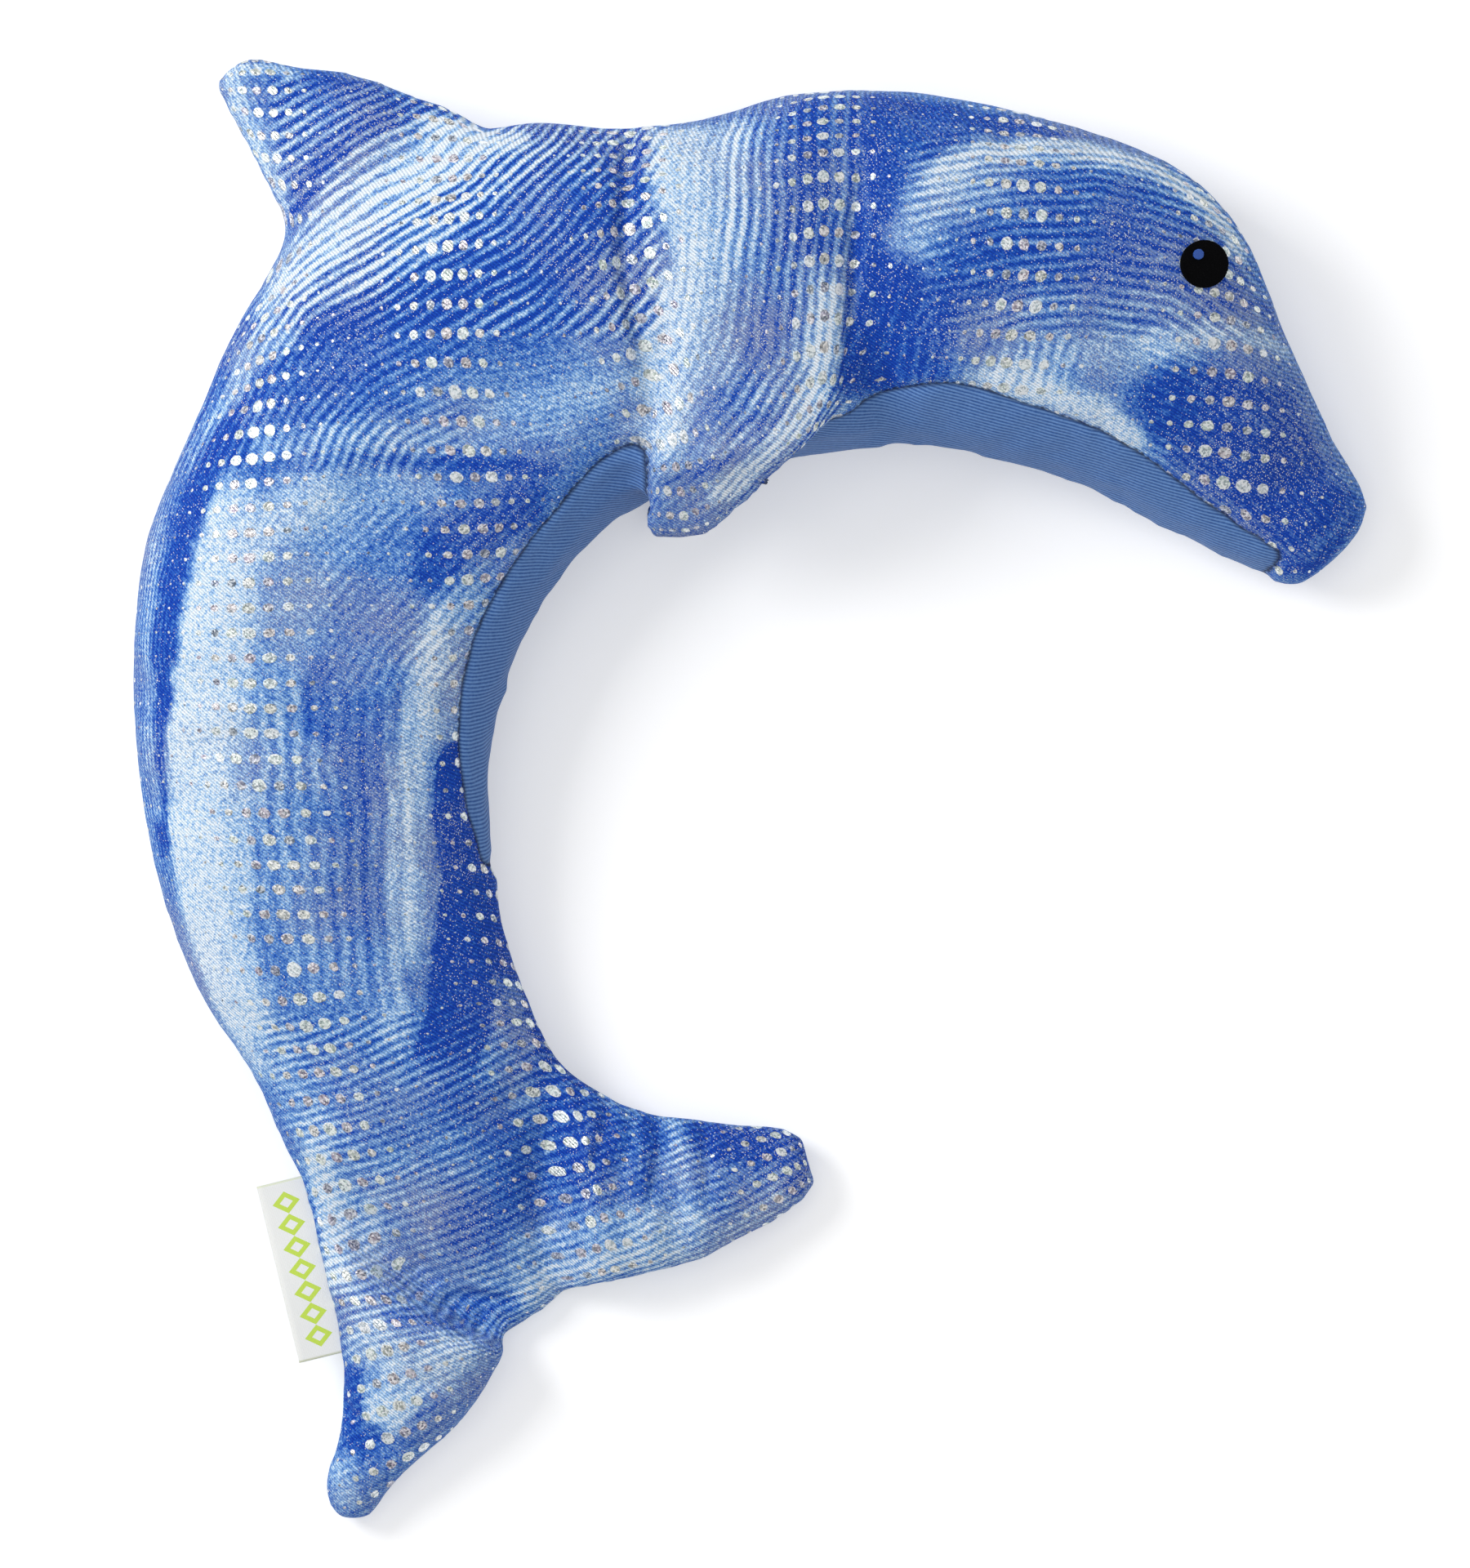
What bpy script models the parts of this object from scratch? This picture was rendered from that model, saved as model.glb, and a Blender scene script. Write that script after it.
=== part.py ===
"""Plush dolphin: a weighted velour toy, curled up and lying on its left flank.

The stuffed skin is one cage: cross-sections lofted along a bent spine, with the dorsal fin,
the two flukes and the two flippers lofted out of openings left in it. The cage is smoothed by
Subdivision Surface, and a twill gusset is let into the belly and under the flippers.
Metres, +Z up. The plan is the dolphin's side view; the floor is Z = 0.
"""

import math
from collections import namedtuple

import bmesh
import bpy
from mathutils import Matrix, Vector
from mathutils.bvhtree import BVHTree

NAME = "plush_dolphin"

# Fits
SEAT_GAP = 0.0003
SEAM_GAP = 0.0005
SEAM_TUCK = 0.0012

# Spine, from the snout to the notch of the tail: how long each stretch is, how far the body
# turns in it, and how deep and thick the body is where it starts
Stretch = namedtuple("Stretch", "length turn depth thickness")
SNOUT = Stretch(0.019, 0, 0.042, 0.030)
MUZZLE = Stretch(0.038, -2, 0.0465, 0.034)
BROW = Stretch(0.038, 16, 0.076, 0.050)
NECK = Stretch(0.058, 38, 0.0965, 0.059)
CHEST = Stretch(0.0565, 5, 0.1012, 0.065)
SHOULDER = Stretch(0.038, 9.5, 0.1030, 0.067)
BACK_BEND = Stretch(0.056, 37.5, 0.114, 0.067)
BACK = Stretch(0.056, 24, 0.117, 0.065)
WAIST = Stretch(0.056, 21, 0.1086, 0.060)
LOIN = Stretch(0.055, 11, 0.0954, 0.051)
TAIL_STOCK = Stretch(0.022, -1, 0.0810, 0.041)
TAIL = Stretch(0.063, 11, 0.0797, 0.036)
SPINE = (
    SNOUT, MUZZLE, BROW, NECK, CHEST, SHOULDER, BACK_BEND, BACK, WAIST, LOIN, TAIL_STOCK, TAIL,
)
SNOUT_HEADING = math.radians(133.1)
SNOUT_ROUNDING = 0.009
SNOUT_BLUNTNESS = 0.72
SNOUT_STATION = 0.35
TAIL_END_DEPTH = 0.022
TAIL_END_THICKNESS = 0.013

# Outline: how much deeper than its spine's stretches the trunk is on either side, as
# (place along the spine, extra depth)
BACK_EXTRA = (
    (0.000, 0.0015), (0.010, 0.0016), (0.030, 0.0008), (0.040, -0.0006), (0.055, -0.0026),
    (0.070, -0.0004), (0.085, 0.0038), (0.100, 0.0008), (0.120, -0.0016), (0.130, -0.0014),
    (0.150, 0.0014), (0.170, 0.0036), (0.180, 0.0030), (0.195, 0.0006), (0.220, 0.0006),
    (0.240, 0.0048), (0.265, 0.0030), (0.290, 0.0045), (0.300, -0.0002), (0.315, -0.0030),
    (0.330, -0.0016), (0.345, 0.0004), (0.380, 0.0002), (0.400, 0.0017), (0.440, 0.0033),
    (0.450, 0.0024), (0.460, 0.0006), (0.490, 0.0009), (0.560, 0.0),
)
BELLY_EXTRA = (
    (0.000, -0.0030), (0.010, -0.0044), (0.020, -0.0022), (0.030, 0.0), (0.050, 0.0002),
    (0.070, 0.0016), (0.100, 0.0028), (0.125, 0.0033), (0.140, 0.0022), (0.160, 0.0),
    (0.200, 0.0), (0.240, 0.0006), (0.320, 0.0013), (0.340, 0.0004), (0.380, 0.0),
    (0.420, -0.0011), (0.440, -0.0021), (0.460, -0.0007), (0.480, 0.0004), (0.500, 0.0014),
    (0.560, 0.0),
)

# How the trunk lies: the filling flattens the flank that it rests on
FLANK_SAG = 0.0026
FULLNESS = 2.2

# Cross-section: where its corners are, in degrees round from the back, and how finely the
# sections stand along the spine
BACK_CORNER = 20.0
FLANK_CORNERS = (47.0, 76.0)
SEAM_SHARE = 0.55
STATION_SPACING = 0.0165
BEND_SPACING = 0.0095
SHORTEST_SPAN = 0.0005
SAME_ANGLE = 0.01

# Gusset: how far down the belly its seam runs, as (place along the spine, share of the depth)
SEAM_LINE = (
    (0.000, 0.36), (0.030, 0.46), (0.057, 0.47), (0.094, 0.57), (0.140, 0.595), (0.165, 0.735),
    (0.190, 0.69), (0.217, 0.59), (0.245, 0.65), (0.270, 0.74), (0.355, 0.75), (0.393, 0.81),
    (0.411, 0.87), (0.432, 0.965), (0.460, 0.93), (0.560, 0.90),
)
DEEPEST_SHARE = 0.999
GUSSET_START = 0.009
GUSSET_END = 0.432
PANEL_THICKNESS = 0.0018

# Limbs: the row lines of an outline run from a leading to a trailing point. Each point is
# (out, aft) from the spine beside the limb's root; rise is the height of its middle
Row = namedtuple("Row", "lead trail thickness rise fold")
FIN_START = 0.246
FIN_END = 0.283
FIN_ROWS = (
    Row((0.0665, -0.0270), (0.0670, 0.0320), 0.0245, 0.0290, 0.0),
    Row((0.0750, -0.0192), (0.0765, 0.0314), 0.0225, 0.0275, 0.0),
    Row((0.0840, -0.0118), (0.0860, 0.0309), 0.0205, 0.0260, 0.0),
    Row((0.0930, -0.0028), (0.0945, 0.0308), 0.0180, 0.0248, 0.0),
    Row((0.1015, 0.0078), (0.1015, 0.0304), 0.0150, 0.0238, 0.0),
    Row((0.1082, 0.0143), (0.1072, 0.0290), 0.0110, 0.0230, 0.0),
)
FLUKE_START = 0.491
FLUKE_ROWS = (
    Row((0.0445, -0.0230), (0.0220, 0.0338), 0.0290, 0.0140, 0.0005),
    Row((0.0495, -0.0146), (0.0310, 0.0361), 0.0270, 0.0130, -0.0030),
    Row((0.0540, -0.0083), (0.0380, 0.0378), 0.0262, 0.0125, 0.0012),
    Row((0.0588, -0.0042), (0.0445, 0.0390), 0.0245, 0.0118, -0.0032),
    Row((0.0655, 0.0010), (0.0525, 0.0403), 0.0240, 0.0112, 0.0015),
    Row((0.0758, 0.0078), (0.0645, 0.0396), 0.0215, 0.0102, 0.0),
    Row((0.0858, 0.0138), (0.0780, 0.0400), 0.0180, 0.0090, 0.0),
    Row((0.0920, 0.0196), (0.0884, 0.0366), 0.0130, 0.0075, 0.0),
)
LOBE_START = 0.494
LOBE_ROWS = (
    Row((0.0460, 0.0010), (0.0050, 0.0357), 0.0325, 0.0158, 0.0),
    Row((0.0502, 0.0150), (0.0130, 0.0415), 0.0295, 0.0142, 0.0),
    Row((0.0562, 0.0280), (0.0220, 0.0475), 0.0250, 0.0122, 0.0010),
    Row((0.0632, 0.0380), (0.0320, 0.0515), 0.0215, 0.0106, -0.0014),
    Row((0.0695, 0.0442), (0.0442, 0.0546), 0.0185, 0.0094, 0.0),
    Row((0.0730, 0.0512), (0.0558, 0.0586), 0.0150, 0.0080, 0.0),
    Row((0.0718, 0.0585), (0.0630, 0.0622), 0.0110, 0.0065, 0.0),
)
FLIPPER_START = 0.163
FLIPPER_END = 0.215
FLIPPER_ROWS = (
    Row((0.0428, -0.0110), (0.0396, 0.0364), 0.0100, 0.0585, 0.0),
    Row((0.0493, -0.0004), (0.0470, 0.0394), 0.0110, 0.0545, 0.0),
    Row((0.0550, 0.0080), (0.0530, 0.0408), 0.0110, 0.0500, 0.0),
    Row((0.0605, 0.0160), (0.0582, 0.0430), 0.0100, 0.0455, 0.0),
    Row((0.0645, 0.0240), (0.0628, 0.0410), 0.0085, 0.0420, 0.0),
)
FAR_FLIPPER_RISE = 0.0042
FAR_FLIPPER_THICKNESS = 0.0085
FAR_FLIPPER_TUCK = 0.0020

# A limb's section: its thickness at the edges as a share of the greatest, how flat it is
# between them, and how far in from the edge its first corners stand, as a share of its width
EDGE_SHARE = 0.42
SECTION_FLATNESS = 2.6
EDGE_INSET = 0.035

# Folds beside each flipper: a valley from the back down to the seam, and the swell between
FOLD_OFFSET = 0.0035
FOLD_HALF_WIDTH = 0.0060
FOLD_DEPTH = 0.0065
FOLD_FADE_ANGLE = 30.0
FLIPPER_SWELL = 0.0025

# Eyes: stitched discs with a stitched glint in each
EYE_PLACE = 0.0815
EYE_OFFSET = 0.0297
EYE_RADIUS = 0.0065
EYE_THICKNESS = 0.0009
GLINT_RADIUS = 0.0014
GLINT_SHIFT = (-0.0017, 0.0025)
GLINT_THICKNESS = 0.0004
EYE_SIDES = 20
GLINT_SIDES = 10

# Label: a tape folded double, its ends sewn into the back seam beside the tail
LABEL_PLACE = 0.5165
LABEL_WIDTH = 0.050
LABEL_SHOWN = 0.0113
LABEL_ROOT = 0.0030
LABEL_HEIGHT = 0.0150
TAPE_THICKNESS = 0.0005
LABEL_FOLD_RADIUS = 0.0006
LABEL_FOLD_STEPS = 6
LABEL_WIDTH_STEPS = 2
LABEL_RUN_SHARE = 0.4
OUTSIDE_REACH = 0.2

# Colours (linear) and finishes
VELOUR_BLUE = (0.07, 0.20, 0.62, 1.0)
TWILL_BLUE = (0.075, 0.17, 0.42, 1.0)
THREAD_BLACK = (0.006, 0.006, 0.008, 1.0)
THREAD_BLUE = (0.12, 0.28, 0.60, 1.0)
TAPE_WHITE = (0.86, 0.86, 0.84, 1.0)

# Cage: corners in a ring, from the back round over the upper flank, where the twill's seams
# and the belly are among them, and what its faces are made of
RING = 12
SEAM_CORNER = 5
BELLY_CORNER = 6
FAR_SEAM_CORNER = 7
SKIN, GUSSET, NEAR_LINING, FAR_LINING = range(4)
FIT_ROUNDS = 4
NARROWEST_MITRE = 0.4
PANEL_NAMES = {
    GUSSET: "belly_gusset",
    NEAR_LINING: "right_flipper_lining",
    FAR_LINING: "left_flipper_lining",
}


def clear_scene():
    for item in list(bpy.data.objects):
        bpy.data.objects.remove(item, do_unlink=True)


def new_collection(name):
    collection = bpy.data.collections.new(name)
    bpy.context.scene.collection.children.link(collection)
    return collection


def new_material(name, colour, roughness):
    material = bpy.data.materials.new(name)
    material.use_nodes = True
    shader = material.node_tree.nodes["Principled BSDF"]
    shader.inputs["Base Color"].default_value = colour
    shader.inputs["Roughness"].default_value = roughness
    shader.inputs["Metallic"].default_value = 0.0
    return material


def add_object(name, mesh, collection, *materials):
    item = bpy.data.objects.new(name, mesh)
    collection.objects.link(item)
    for material in materials:
        mesh.materials.append(material)
    return item


def through(knots, at):
    """Value at a place on the smooth curve through (place, value) knots."""
    places = [k[0] for k in knots]
    values = [k[1] for k in knots]
    last = len(knots) - 1
    if at <= places[0]:
        return values[0]
    if at >= places[last]:
        return values[last]
    k = max(i for i in range(last) if places[i] <= at)

    def slope(i):
        a = max(i - 1, 0)
        b = min(i + 1, last)
        return (values[b] - values[a]) / (places[b] - places[a])

    span = places[k + 1] - places[k]
    t = (at - places[k]) / span
    rise = values[k + 1] - values[k]
    bend_a = slope(k) * span - rise
    bend_b = rise - slope(k + 1) * span
    return values[k] + t * rise + t * (1 - t) * ((1 - t) * bend_a + t * bend_b)


class Spine:
    """The trunk's bent middle line, with its depth, thickness and seam along the way."""

    STEP = 0.001

    def __init__(self, stretches):
        places = [0.0]
        headings = [SNOUT_HEADING]
        for stretch in stretches:
            places.append(places[-1] + stretch.length)
            headings.append(headings[-1] + math.radians(stretch.turn))
        self.length = places[-1]
        self.headings = list(zip(places, headings))
        depths = [s.depth for s in stretches] + [TAIL_END_DEPTH]
        thicknesses = [s.thickness for s in stretches] + [TAIL_END_THICKNESS]
        self.depths = list(zip(places, depths))
        self.thicknesses = list(zip(places, thicknesses))
        self.points = [Vector((0.0, 0.0, 0.0))]
        for i in range(int(self.length / self.STEP) + 2):
            heading = through(self.headings, (i + 0.5) * self.STEP)
            step = Vector((math.cos(heading), math.sin(heading), 0.0)) * self.STEP
            self.points.append(self.points[-1] + step)

    def point(self, along):
        whole = min(int(along / self.STEP), len(self.points) - 2)
        rest = along / self.STEP - whole
        return self.points[whole].lerp(self.points[whole + 1], rest)

    def tangent(self, along):
        heading = through(self.headings, along)
        return Vector((math.cos(heading), math.sin(heading), 0.0))

    def backward(self, along):
        """Unit vector from the spine towards the back of the dolphin."""
        ahead = self.tangent(along)
        return Vector((ahead.y, -ahead.x, 0.0))

    def rounding(self, along):
        """The snout's blunt end: how much of the full section is left there."""
        left = max(0.0, 1.0 - along / SNOUT_ROUNDING)
        return math.sqrt(max(0.0, 1.0 - SNOUT_BLUNTNESS * left * left))

    def half_depth(self, along, side):
        """From the spine to the back, where side is positive, or to the belly."""
        extra = through(BACK_EXTRA if side > 0.0 else BELLY_EXTRA, along)
        return (0.5 * through(self.depths, along) + extra) * self.rounding(along)

    def half_thickness(self, along):
        return 0.5 * through(self.thicknesses, along) * self.rounding(along)

    def middle_height(self, along):
        return 0.5 * through(self.thicknesses, along) - FLANK_SAG


def swing(value):
    """A cosine or sine made fuller, as stuffing fills a section."""
    return math.copysign(abs(value) ** (2.0 / FULLNESS), value)


def seam_angle(along):
    share = through(SEAM_LINE, along)
    return 180.0 - math.degrees(math.acos(min(share, DEEPEST_SHARE) ** (FULLNESS / 2.0)))


def ring_angles(along):
    """Corner angles of a cross-section, in degrees from the back over the upper flank."""
    seam = seam_angle(along)
    shoulder = FLANK_CORNERS[-1] + SEAM_SHARE * (seam - FLANK_CORNERS[-1])
    upper = [BACK_CORNER, *FLANK_CORNERS, shoulder, seam]
    return [0.0, *upper, 180.0, *(360.0 - a for a in reversed(upper))]


def flank_fold(along, angle):
    """How far the near flank is drawn in or swells out, beside and above the flipper."""
    if not FOLD_FADE_ANGLE < angle < 180.0:
        return 0.0
    fade = min(1.0, (angle - FOLD_FADE_ANGLE) / (seam_angle(along) - FOLD_FADE_ANGLE))
    amount = 0.0
    for valley in (FLIPPER_START - FOLD_OFFSET, FLIPPER_END + FOLD_OFFSET):
        away = (along - valley) / FOLD_HALF_WIDTH
        amount -= FOLD_DEPTH * math.exp(-away * away)
    middle = 0.5 * (FLIPPER_START + FLIPPER_END)
    half = 0.5 * (FLIPPER_END - FLIPPER_START)
    away = (along - middle) / half
    amount += FLIPPER_SWELL * math.exp(-away * away)
    return amount * fade


def trunk_point(spine, along, angle):
    """A point of the stuffed trunk's surface, before the floor flattens it."""
    turn = math.radians(angle)
    depth = spine.half_depth(along, math.cos(turn))
    thickness = spine.half_thickness(along)
    out = Vector((math.cos(turn) * thickness, math.sin(turn) * depth)).normalized()
    push = flank_fold(along, angle)
    seam = seam_angle(along)
    if min(abs(angle - seam), abs(360.0 - angle - seam)) < SAME_ANGLE:
        push -= SEAM_TUCK
    sideways = swing(math.cos(turn)) * depth + out.x * push
    upward = swing(math.sin(turn)) * thickness + out.y * push
    place = spine.point(along) + spine.backward(along) * sideways
    place.z = spine.middle_height(along) + upward
    return place


def on_floor(place):
    return Vector((place.x, place.y, max(place.z, 0.0)))


def station_places(spine):
    """Places of the cross-sections: at every root's ends and folds, and evenly between."""
    marks = [
        0.0, SNOUT_STATION * SNOUT_ROUNDING, SNOUT_ROUNDING, GUSSET_START, GUSSET_END,
        FLIPPER_START - 2 * FOLD_OFFSET, FLIPPER_START - FOLD_OFFSET, FLIPPER_START,
        FLIPPER_END, FLIPPER_END + FOLD_OFFSET, FLIPPER_END + 2 * FOLD_OFFSET,
        FIN_START, FIN_END, FLUKE_START, LOBE_START, spine.length,
    ]
    marks.sort()
    places = [marks[0]]
    for a, b in zip(marks, marks[1:]):
        if b - a < SHORTEST_SPAN:
            continue
        fine = FLIPPER_START <= a < FIN_END or a >= FLUKE_START
        count = max(1, math.ceil((b - a) / (BEND_SPACING if fine else STATION_SPACING)))
        places.extend(a + (b - a) * (i + 1) / count for i in range(count))
    return places


class Cage:
    """Corners with the places that the smoothed surface passes through, and their faces."""

    def __init__(self):
        self.mesh = bmesh.new()
        self.goals = {}

    def corner(self, place):
        corner = self.mesh.verts.new(on_floor(place))
        self.goals[corner] = corner.co.copy()
        return corner

    def face(self, corners, kind):
        face = self.mesh.faces.new(corners)
        face.material_index = kind
        face.smooth = True

    def bridge(self, ring_a, ring_b, kinds):
        for i, kind in enumerate(kinds):
            j = (i + 1) % len(ring_a)
            self.face((ring_a[i], ring_a[j], ring_b[j], ring_b[i]), kind)

    def smoothed(self):
        """Where one Catmull-Clark step puts each corner."""
        places = []
        for corner in self.mesh.verts:
            count = len(corner.link_faces)
            faces = sum((f.calc_center_median() for f in corner.link_faces), Vector()) / count
            middles = sum(
                (0.5 * (e.verts[0].co + e.verts[1].co) for e in corner.link_edges), Vector()
            )
            middles /= count
            places.append((faces + 2.0 * middles + (count - 3) * corner.co) / count)
        return places

    def fit(self):
        """Moves the corners until the smoothed surface passes through their goals."""
        for corner in [v for v in self.mesh.verts if not v.link_faces]:
            self.mesh.verts.remove(corner)
        for _ in range(FIT_ROUNDS):
            for corner, place in zip(self.mesh.verts, self.smoothed()):
                corner.co += self.goals[corner] - place


def add_trunk(cage, spine, places, openings):
    """Lofts the trunk, and leaves out the faces of the limbs' root openings."""
    rings = []
    for along in places:
        angles = ring_angles(along)
        rings.append([cage.corner(trunk_point(spine, along, a)) for a in angles])
    for k in range(len(places) - 1):
        middle = 0.5 * (places[k] + places[k + 1])
        belly = GUSSET_START < middle < GUSSET_END
        for i in range(RING):
            if (k, i) in openings:
                continue
            j = (i + 1) % RING
            kind = GUSSET if belly and SEAM_CORNER <= i < FAR_SEAM_CORNER else SKIN
            cage.face((rings[k][i], rings[k + 1][i], rings[k + 1][j], rings[k][j]), kind)
    cage.face(rings[0], SKIN)
    cage.face(list(reversed(rings[-1])), SKIN)
    return rings


def root_faces(places, start, end, corners):
    """The trunk faces that a limb grows from."""
    spans = [k for k in range(len(places) - 1) if start < 0.5 * (places[k] + places[k + 1]) < end]
    return {(k, i) for k in spans for i in corners}


def root_loop(rings, faces, first_corner, last_corner):
    """The edge of a limb's opening: its upper line aft, then its lower line forward."""
    spans = sorted({k for k, _ in faces})
    stations = spans + [spans[-1] + 1]
    between = []
    corner = (first_corner + 1) % RING
    while corner != last_corner:
        between.append(corner)
        corner = (corner + 1) % RING
    upper = [rings[k][first_corner] for k in stations]
    trail = [rings[stations[-1]][i] for i in between]
    lower = [rings[k][last_corner] for k in reversed(stations)]
    lead = [rings[stations[0]][i] for i in reversed(between)]
    return upper + trail + lower + lead, len(stations), len(between)


def section_bulge(share):
    """Half thickness of a padded fin across its chord, as a share of the greatest."""
    return max(EDGE_SHARE, (1.0 - abs(2.0 * share - 1.0) ** SECTION_FLATNESS) ** 0.5)


def add_limb(cage, spine, origin, outward, rows, loop, across, edge_corners, lining):
    """Lofts a padded limb out of a root opening, row by row, and closes its tip."""
    base = spine.point(origin)
    out = spine.backward(origin) * outward
    aft = spine.tangent(origin)
    ring = loop
    kinds = [SKIN] * len(loop)
    if lining == NEAR_LINING:
        kinds[across + edge_corners:2 * across + edge_corners - 1] = [lining] * (across - 1)
    if lining == FAR_LINING:
        kinds[:across - 1] = [lining] * (across - 1)
    for row in rows:
        lead = base + out * row.lead[0] + aft * row.lead[1]
        trail = base + out * row.trail[0] + aft * row.trail[1]
        half = 0.5 * row.thickness

        def place(share, side, fold):
            inset = EDGE_INSET if edge_corners else 0.0
            spot = lead.lerp(trail, inset + (1.0 - 2.0 * inset) * share)
            spot.z = row.rise + side * half * section_bulge(share) + fold * section_bulge(share)
            return spot

        shares = [i / (across - 1) for i in range(across)]
        upper = [cage.corner(place(s, 1.0, row.fold)) for s in shares]
        trail_edge = [cage.corner(Vector((trail.x, trail.y, row.rise)))] * min(1, edge_corners)
        lower = [cage.corner(place(s, -1.0, 0.0)) for s in reversed(shares)]
        lead_edge = [cage.corner(Vector((lead.x, lead.y, row.rise)))] * min(1, edge_corners)
        new_ring = upper + trail_edge + lower + lead_edge
        plain = row is rows[0] or row is rows[-1]
        cage.bridge(new_ring, ring, [SKIN] * len(ring) if plain else kinds)
        ring = new_ring
    close_tip(cage, ring, across, edge_corners)


def close_tip(cage, ring, across, edge_corners):
    upper = ring[:across]
    lower = list(reversed(ring[across + edge_corners:2 * across + edge_corners]))
    for i in range(across - 1):
        corners = [upper[i], upper[i + 1], lower[i + 1], lower[i]]
        if edge_corners and i == across - 2:
            corners.insert(2, ring[across])
        if edge_corners and i == 0:
            corners.append(ring[-1])
        cage.face(list(reversed(corners)), SKIN)


def far_rows(rows):
    """The far flipper's rows: it lies flat on the floor, tucked a little under the body."""
    tucked = []
    for row in rows:
        lead = (row.lead[0] - FAR_FLIPPER_TUCK, row.lead[1])
        trail = (row.trail[0] - FAR_FLIPPER_TUCK, row.trail[1])
        thickness = min(row.thickness, FAR_FLIPPER_THICKNESS)
        tucked.append(Row(lead, trail, thickness, FAR_FLIPPER_RISE, 0.0))
    return tucked


def build_skin(spine):
    """The whole outer surface of the toy as a smoothed mesh, its twill faces marked."""
    places = station_places(spine)
    fin = root_faces(places, FIN_START, FIN_END, (RING - 1, 0))
    fluke = root_faces(places, FLUKE_START, spine.length, (SEAM_CORNER, BELLY_CORNER))
    lobe = root_faces(places, LOBE_START, spine.length, (RING - 1, 0))
    near = root_faces(places, FLIPPER_START, FLIPPER_END, (SEAM_CORNER - 1,))
    far = root_faces(places, FLIPPER_START, FLIPPER_END, (FAR_SEAM_CORNER,))
    cage = Cage()
    rings = add_trunk(cage, spine, places, fin | fluke | lobe | near | far)

    fin_middle = 0.5 * (FIN_START + FIN_END)
    tail_middle = 0.5 * (FLUKE_START + spine.length)
    chest_middle = 0.5 * (FLIPPER_START + FLIPPER_END)
    limbs = (
        (fin, RING - 1, 1, fin_middle, 1.0, FIN_ROWS, SKIN),
        (fluke, SEAM_CORNER, FAR_SEAM_CORNER, tail_middle, -1.0, FLUKE_ROWS, SKIN),
        (lobe, RING - 1, 1, tail_middle, 1.0, LOBE_ROWS, SKIN),
        (near, SEAM_CORNER - 1, SEAM_CORNER, chest_middle, -1.0, FLIPPER_ROWS, NEAR_LINING),
        (far, FAR_SEAM_CORNER, FAR_SEAM_CORNER + 1, chest_middle, -1.0,
         far_rows(FLIPPER_ROWS), FAR_LINING),
    )
    for faces, first, last, origin, outward, rows, lining in limbs:
        on_back = outward > 0.0
        if on_back:
            first, last = last, first
        loop, across, edge = root_loop_facing(rings, faces, first, last, on_back)
        add_limb(cage, spine, origin, outward, rows, loop, across, edge, lining)
    cage.fit()
    return smooth(cage)


def root_loop_facing(rings, faces, first, last, on_back):
    """A root loop whose first line is the upper one, on either side of the trunk."""
    if not on_back:
        return root_loop(rings, faces, first, last)
    loop, across, edge = root_loop(rings, faces, last, first)
    upper = list(reversed(loop[across + edge:2 * across + edge]))
    trail = list(reversed(loop[across:across + edge]))
    lower = list(reversed(loop[:across]))
    lead = list(reversed(loop[2 * across + edge:]))
    return upper + trail + lower + lead, across, edge


def smooth(cage):
    """The cage as Subdivision Surface shapes it, with its underside flat on the floor."""
    bmesh.ops.recalc_face_normals(cage.mesh, faces=cage.mesh.faces)
    mesh = bpy.data.meshes.new("skin_cage")
    cage.mesh.to_mesh(mesh)
    cage.mesh.free()
    item = bpy.data.objects.new("skin_cage", mesh)
    bpy.context.scene.collection.objects.link(item)
    subdivision = item.modifiers.new("Stuffing", "SUBSURF")
    subdivision.levels = 1
    subdivision.render_levels = 1
    evaluated = item.evaluated_get(bpy.context.evaluated_depsgraph_get())
    skin = bmesh.new()
    skin.from_mesh(evaluated.to_mesh())
    evaluated.to_mesh_clear()
    bpy.data.objects.remove(item, do_unlink=True)
    for corner in skin.verts:
        corner.co.z = max(corner.co.z, 0.0)
    skin.normal_update()
    return skin


def panel_faces(shape, kind):
    return [f for f in shape.faces if f.material_index == kind]


def outward(corner, kind):
    """The corner's normal, from the faces of its own panel only."""
    own = [f for f in corner.link_faces if f.material_index == kind]
    return sum((f.normal * f.calc_area() for f in own), Vector()).normalized()


def way_in(corner, kind):
    """The mitred step from the panel's edge into it, one unit from both of its edges."""
    ways = []
    for edge in corner.link_edges:
        own = [f for f in edge.link_faces if f.material_index == kind]
        if len(own) != 1:
            continue
        line = edge.other_vert(corner).co - corner.co
        way = own[0].normal.cross(line).normalized()
        if way.dot(own[0].calc_center_median() - corner.co) < 0.0:
            way.negate()
        ways.append(way)
    if not ways:
        return Vector()
    middle = sum(ways, Vector()).normalized()
    return middle / max(NARROWEST_MITRE, middle.dot(ways[0]))


def sink(shape, faces, layer):
    """Extrudes faces and moves the new corners by the steps kept in the layer."""
    made = bmesh.ops.extrude_face_region(shape, geom=faces, use_keep_orig=True)["geom"]
    for corner in (g for g in made if isinstance(g, bmesh.types.BMVert)):
        corner.co += Vector(corner[layer])


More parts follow.
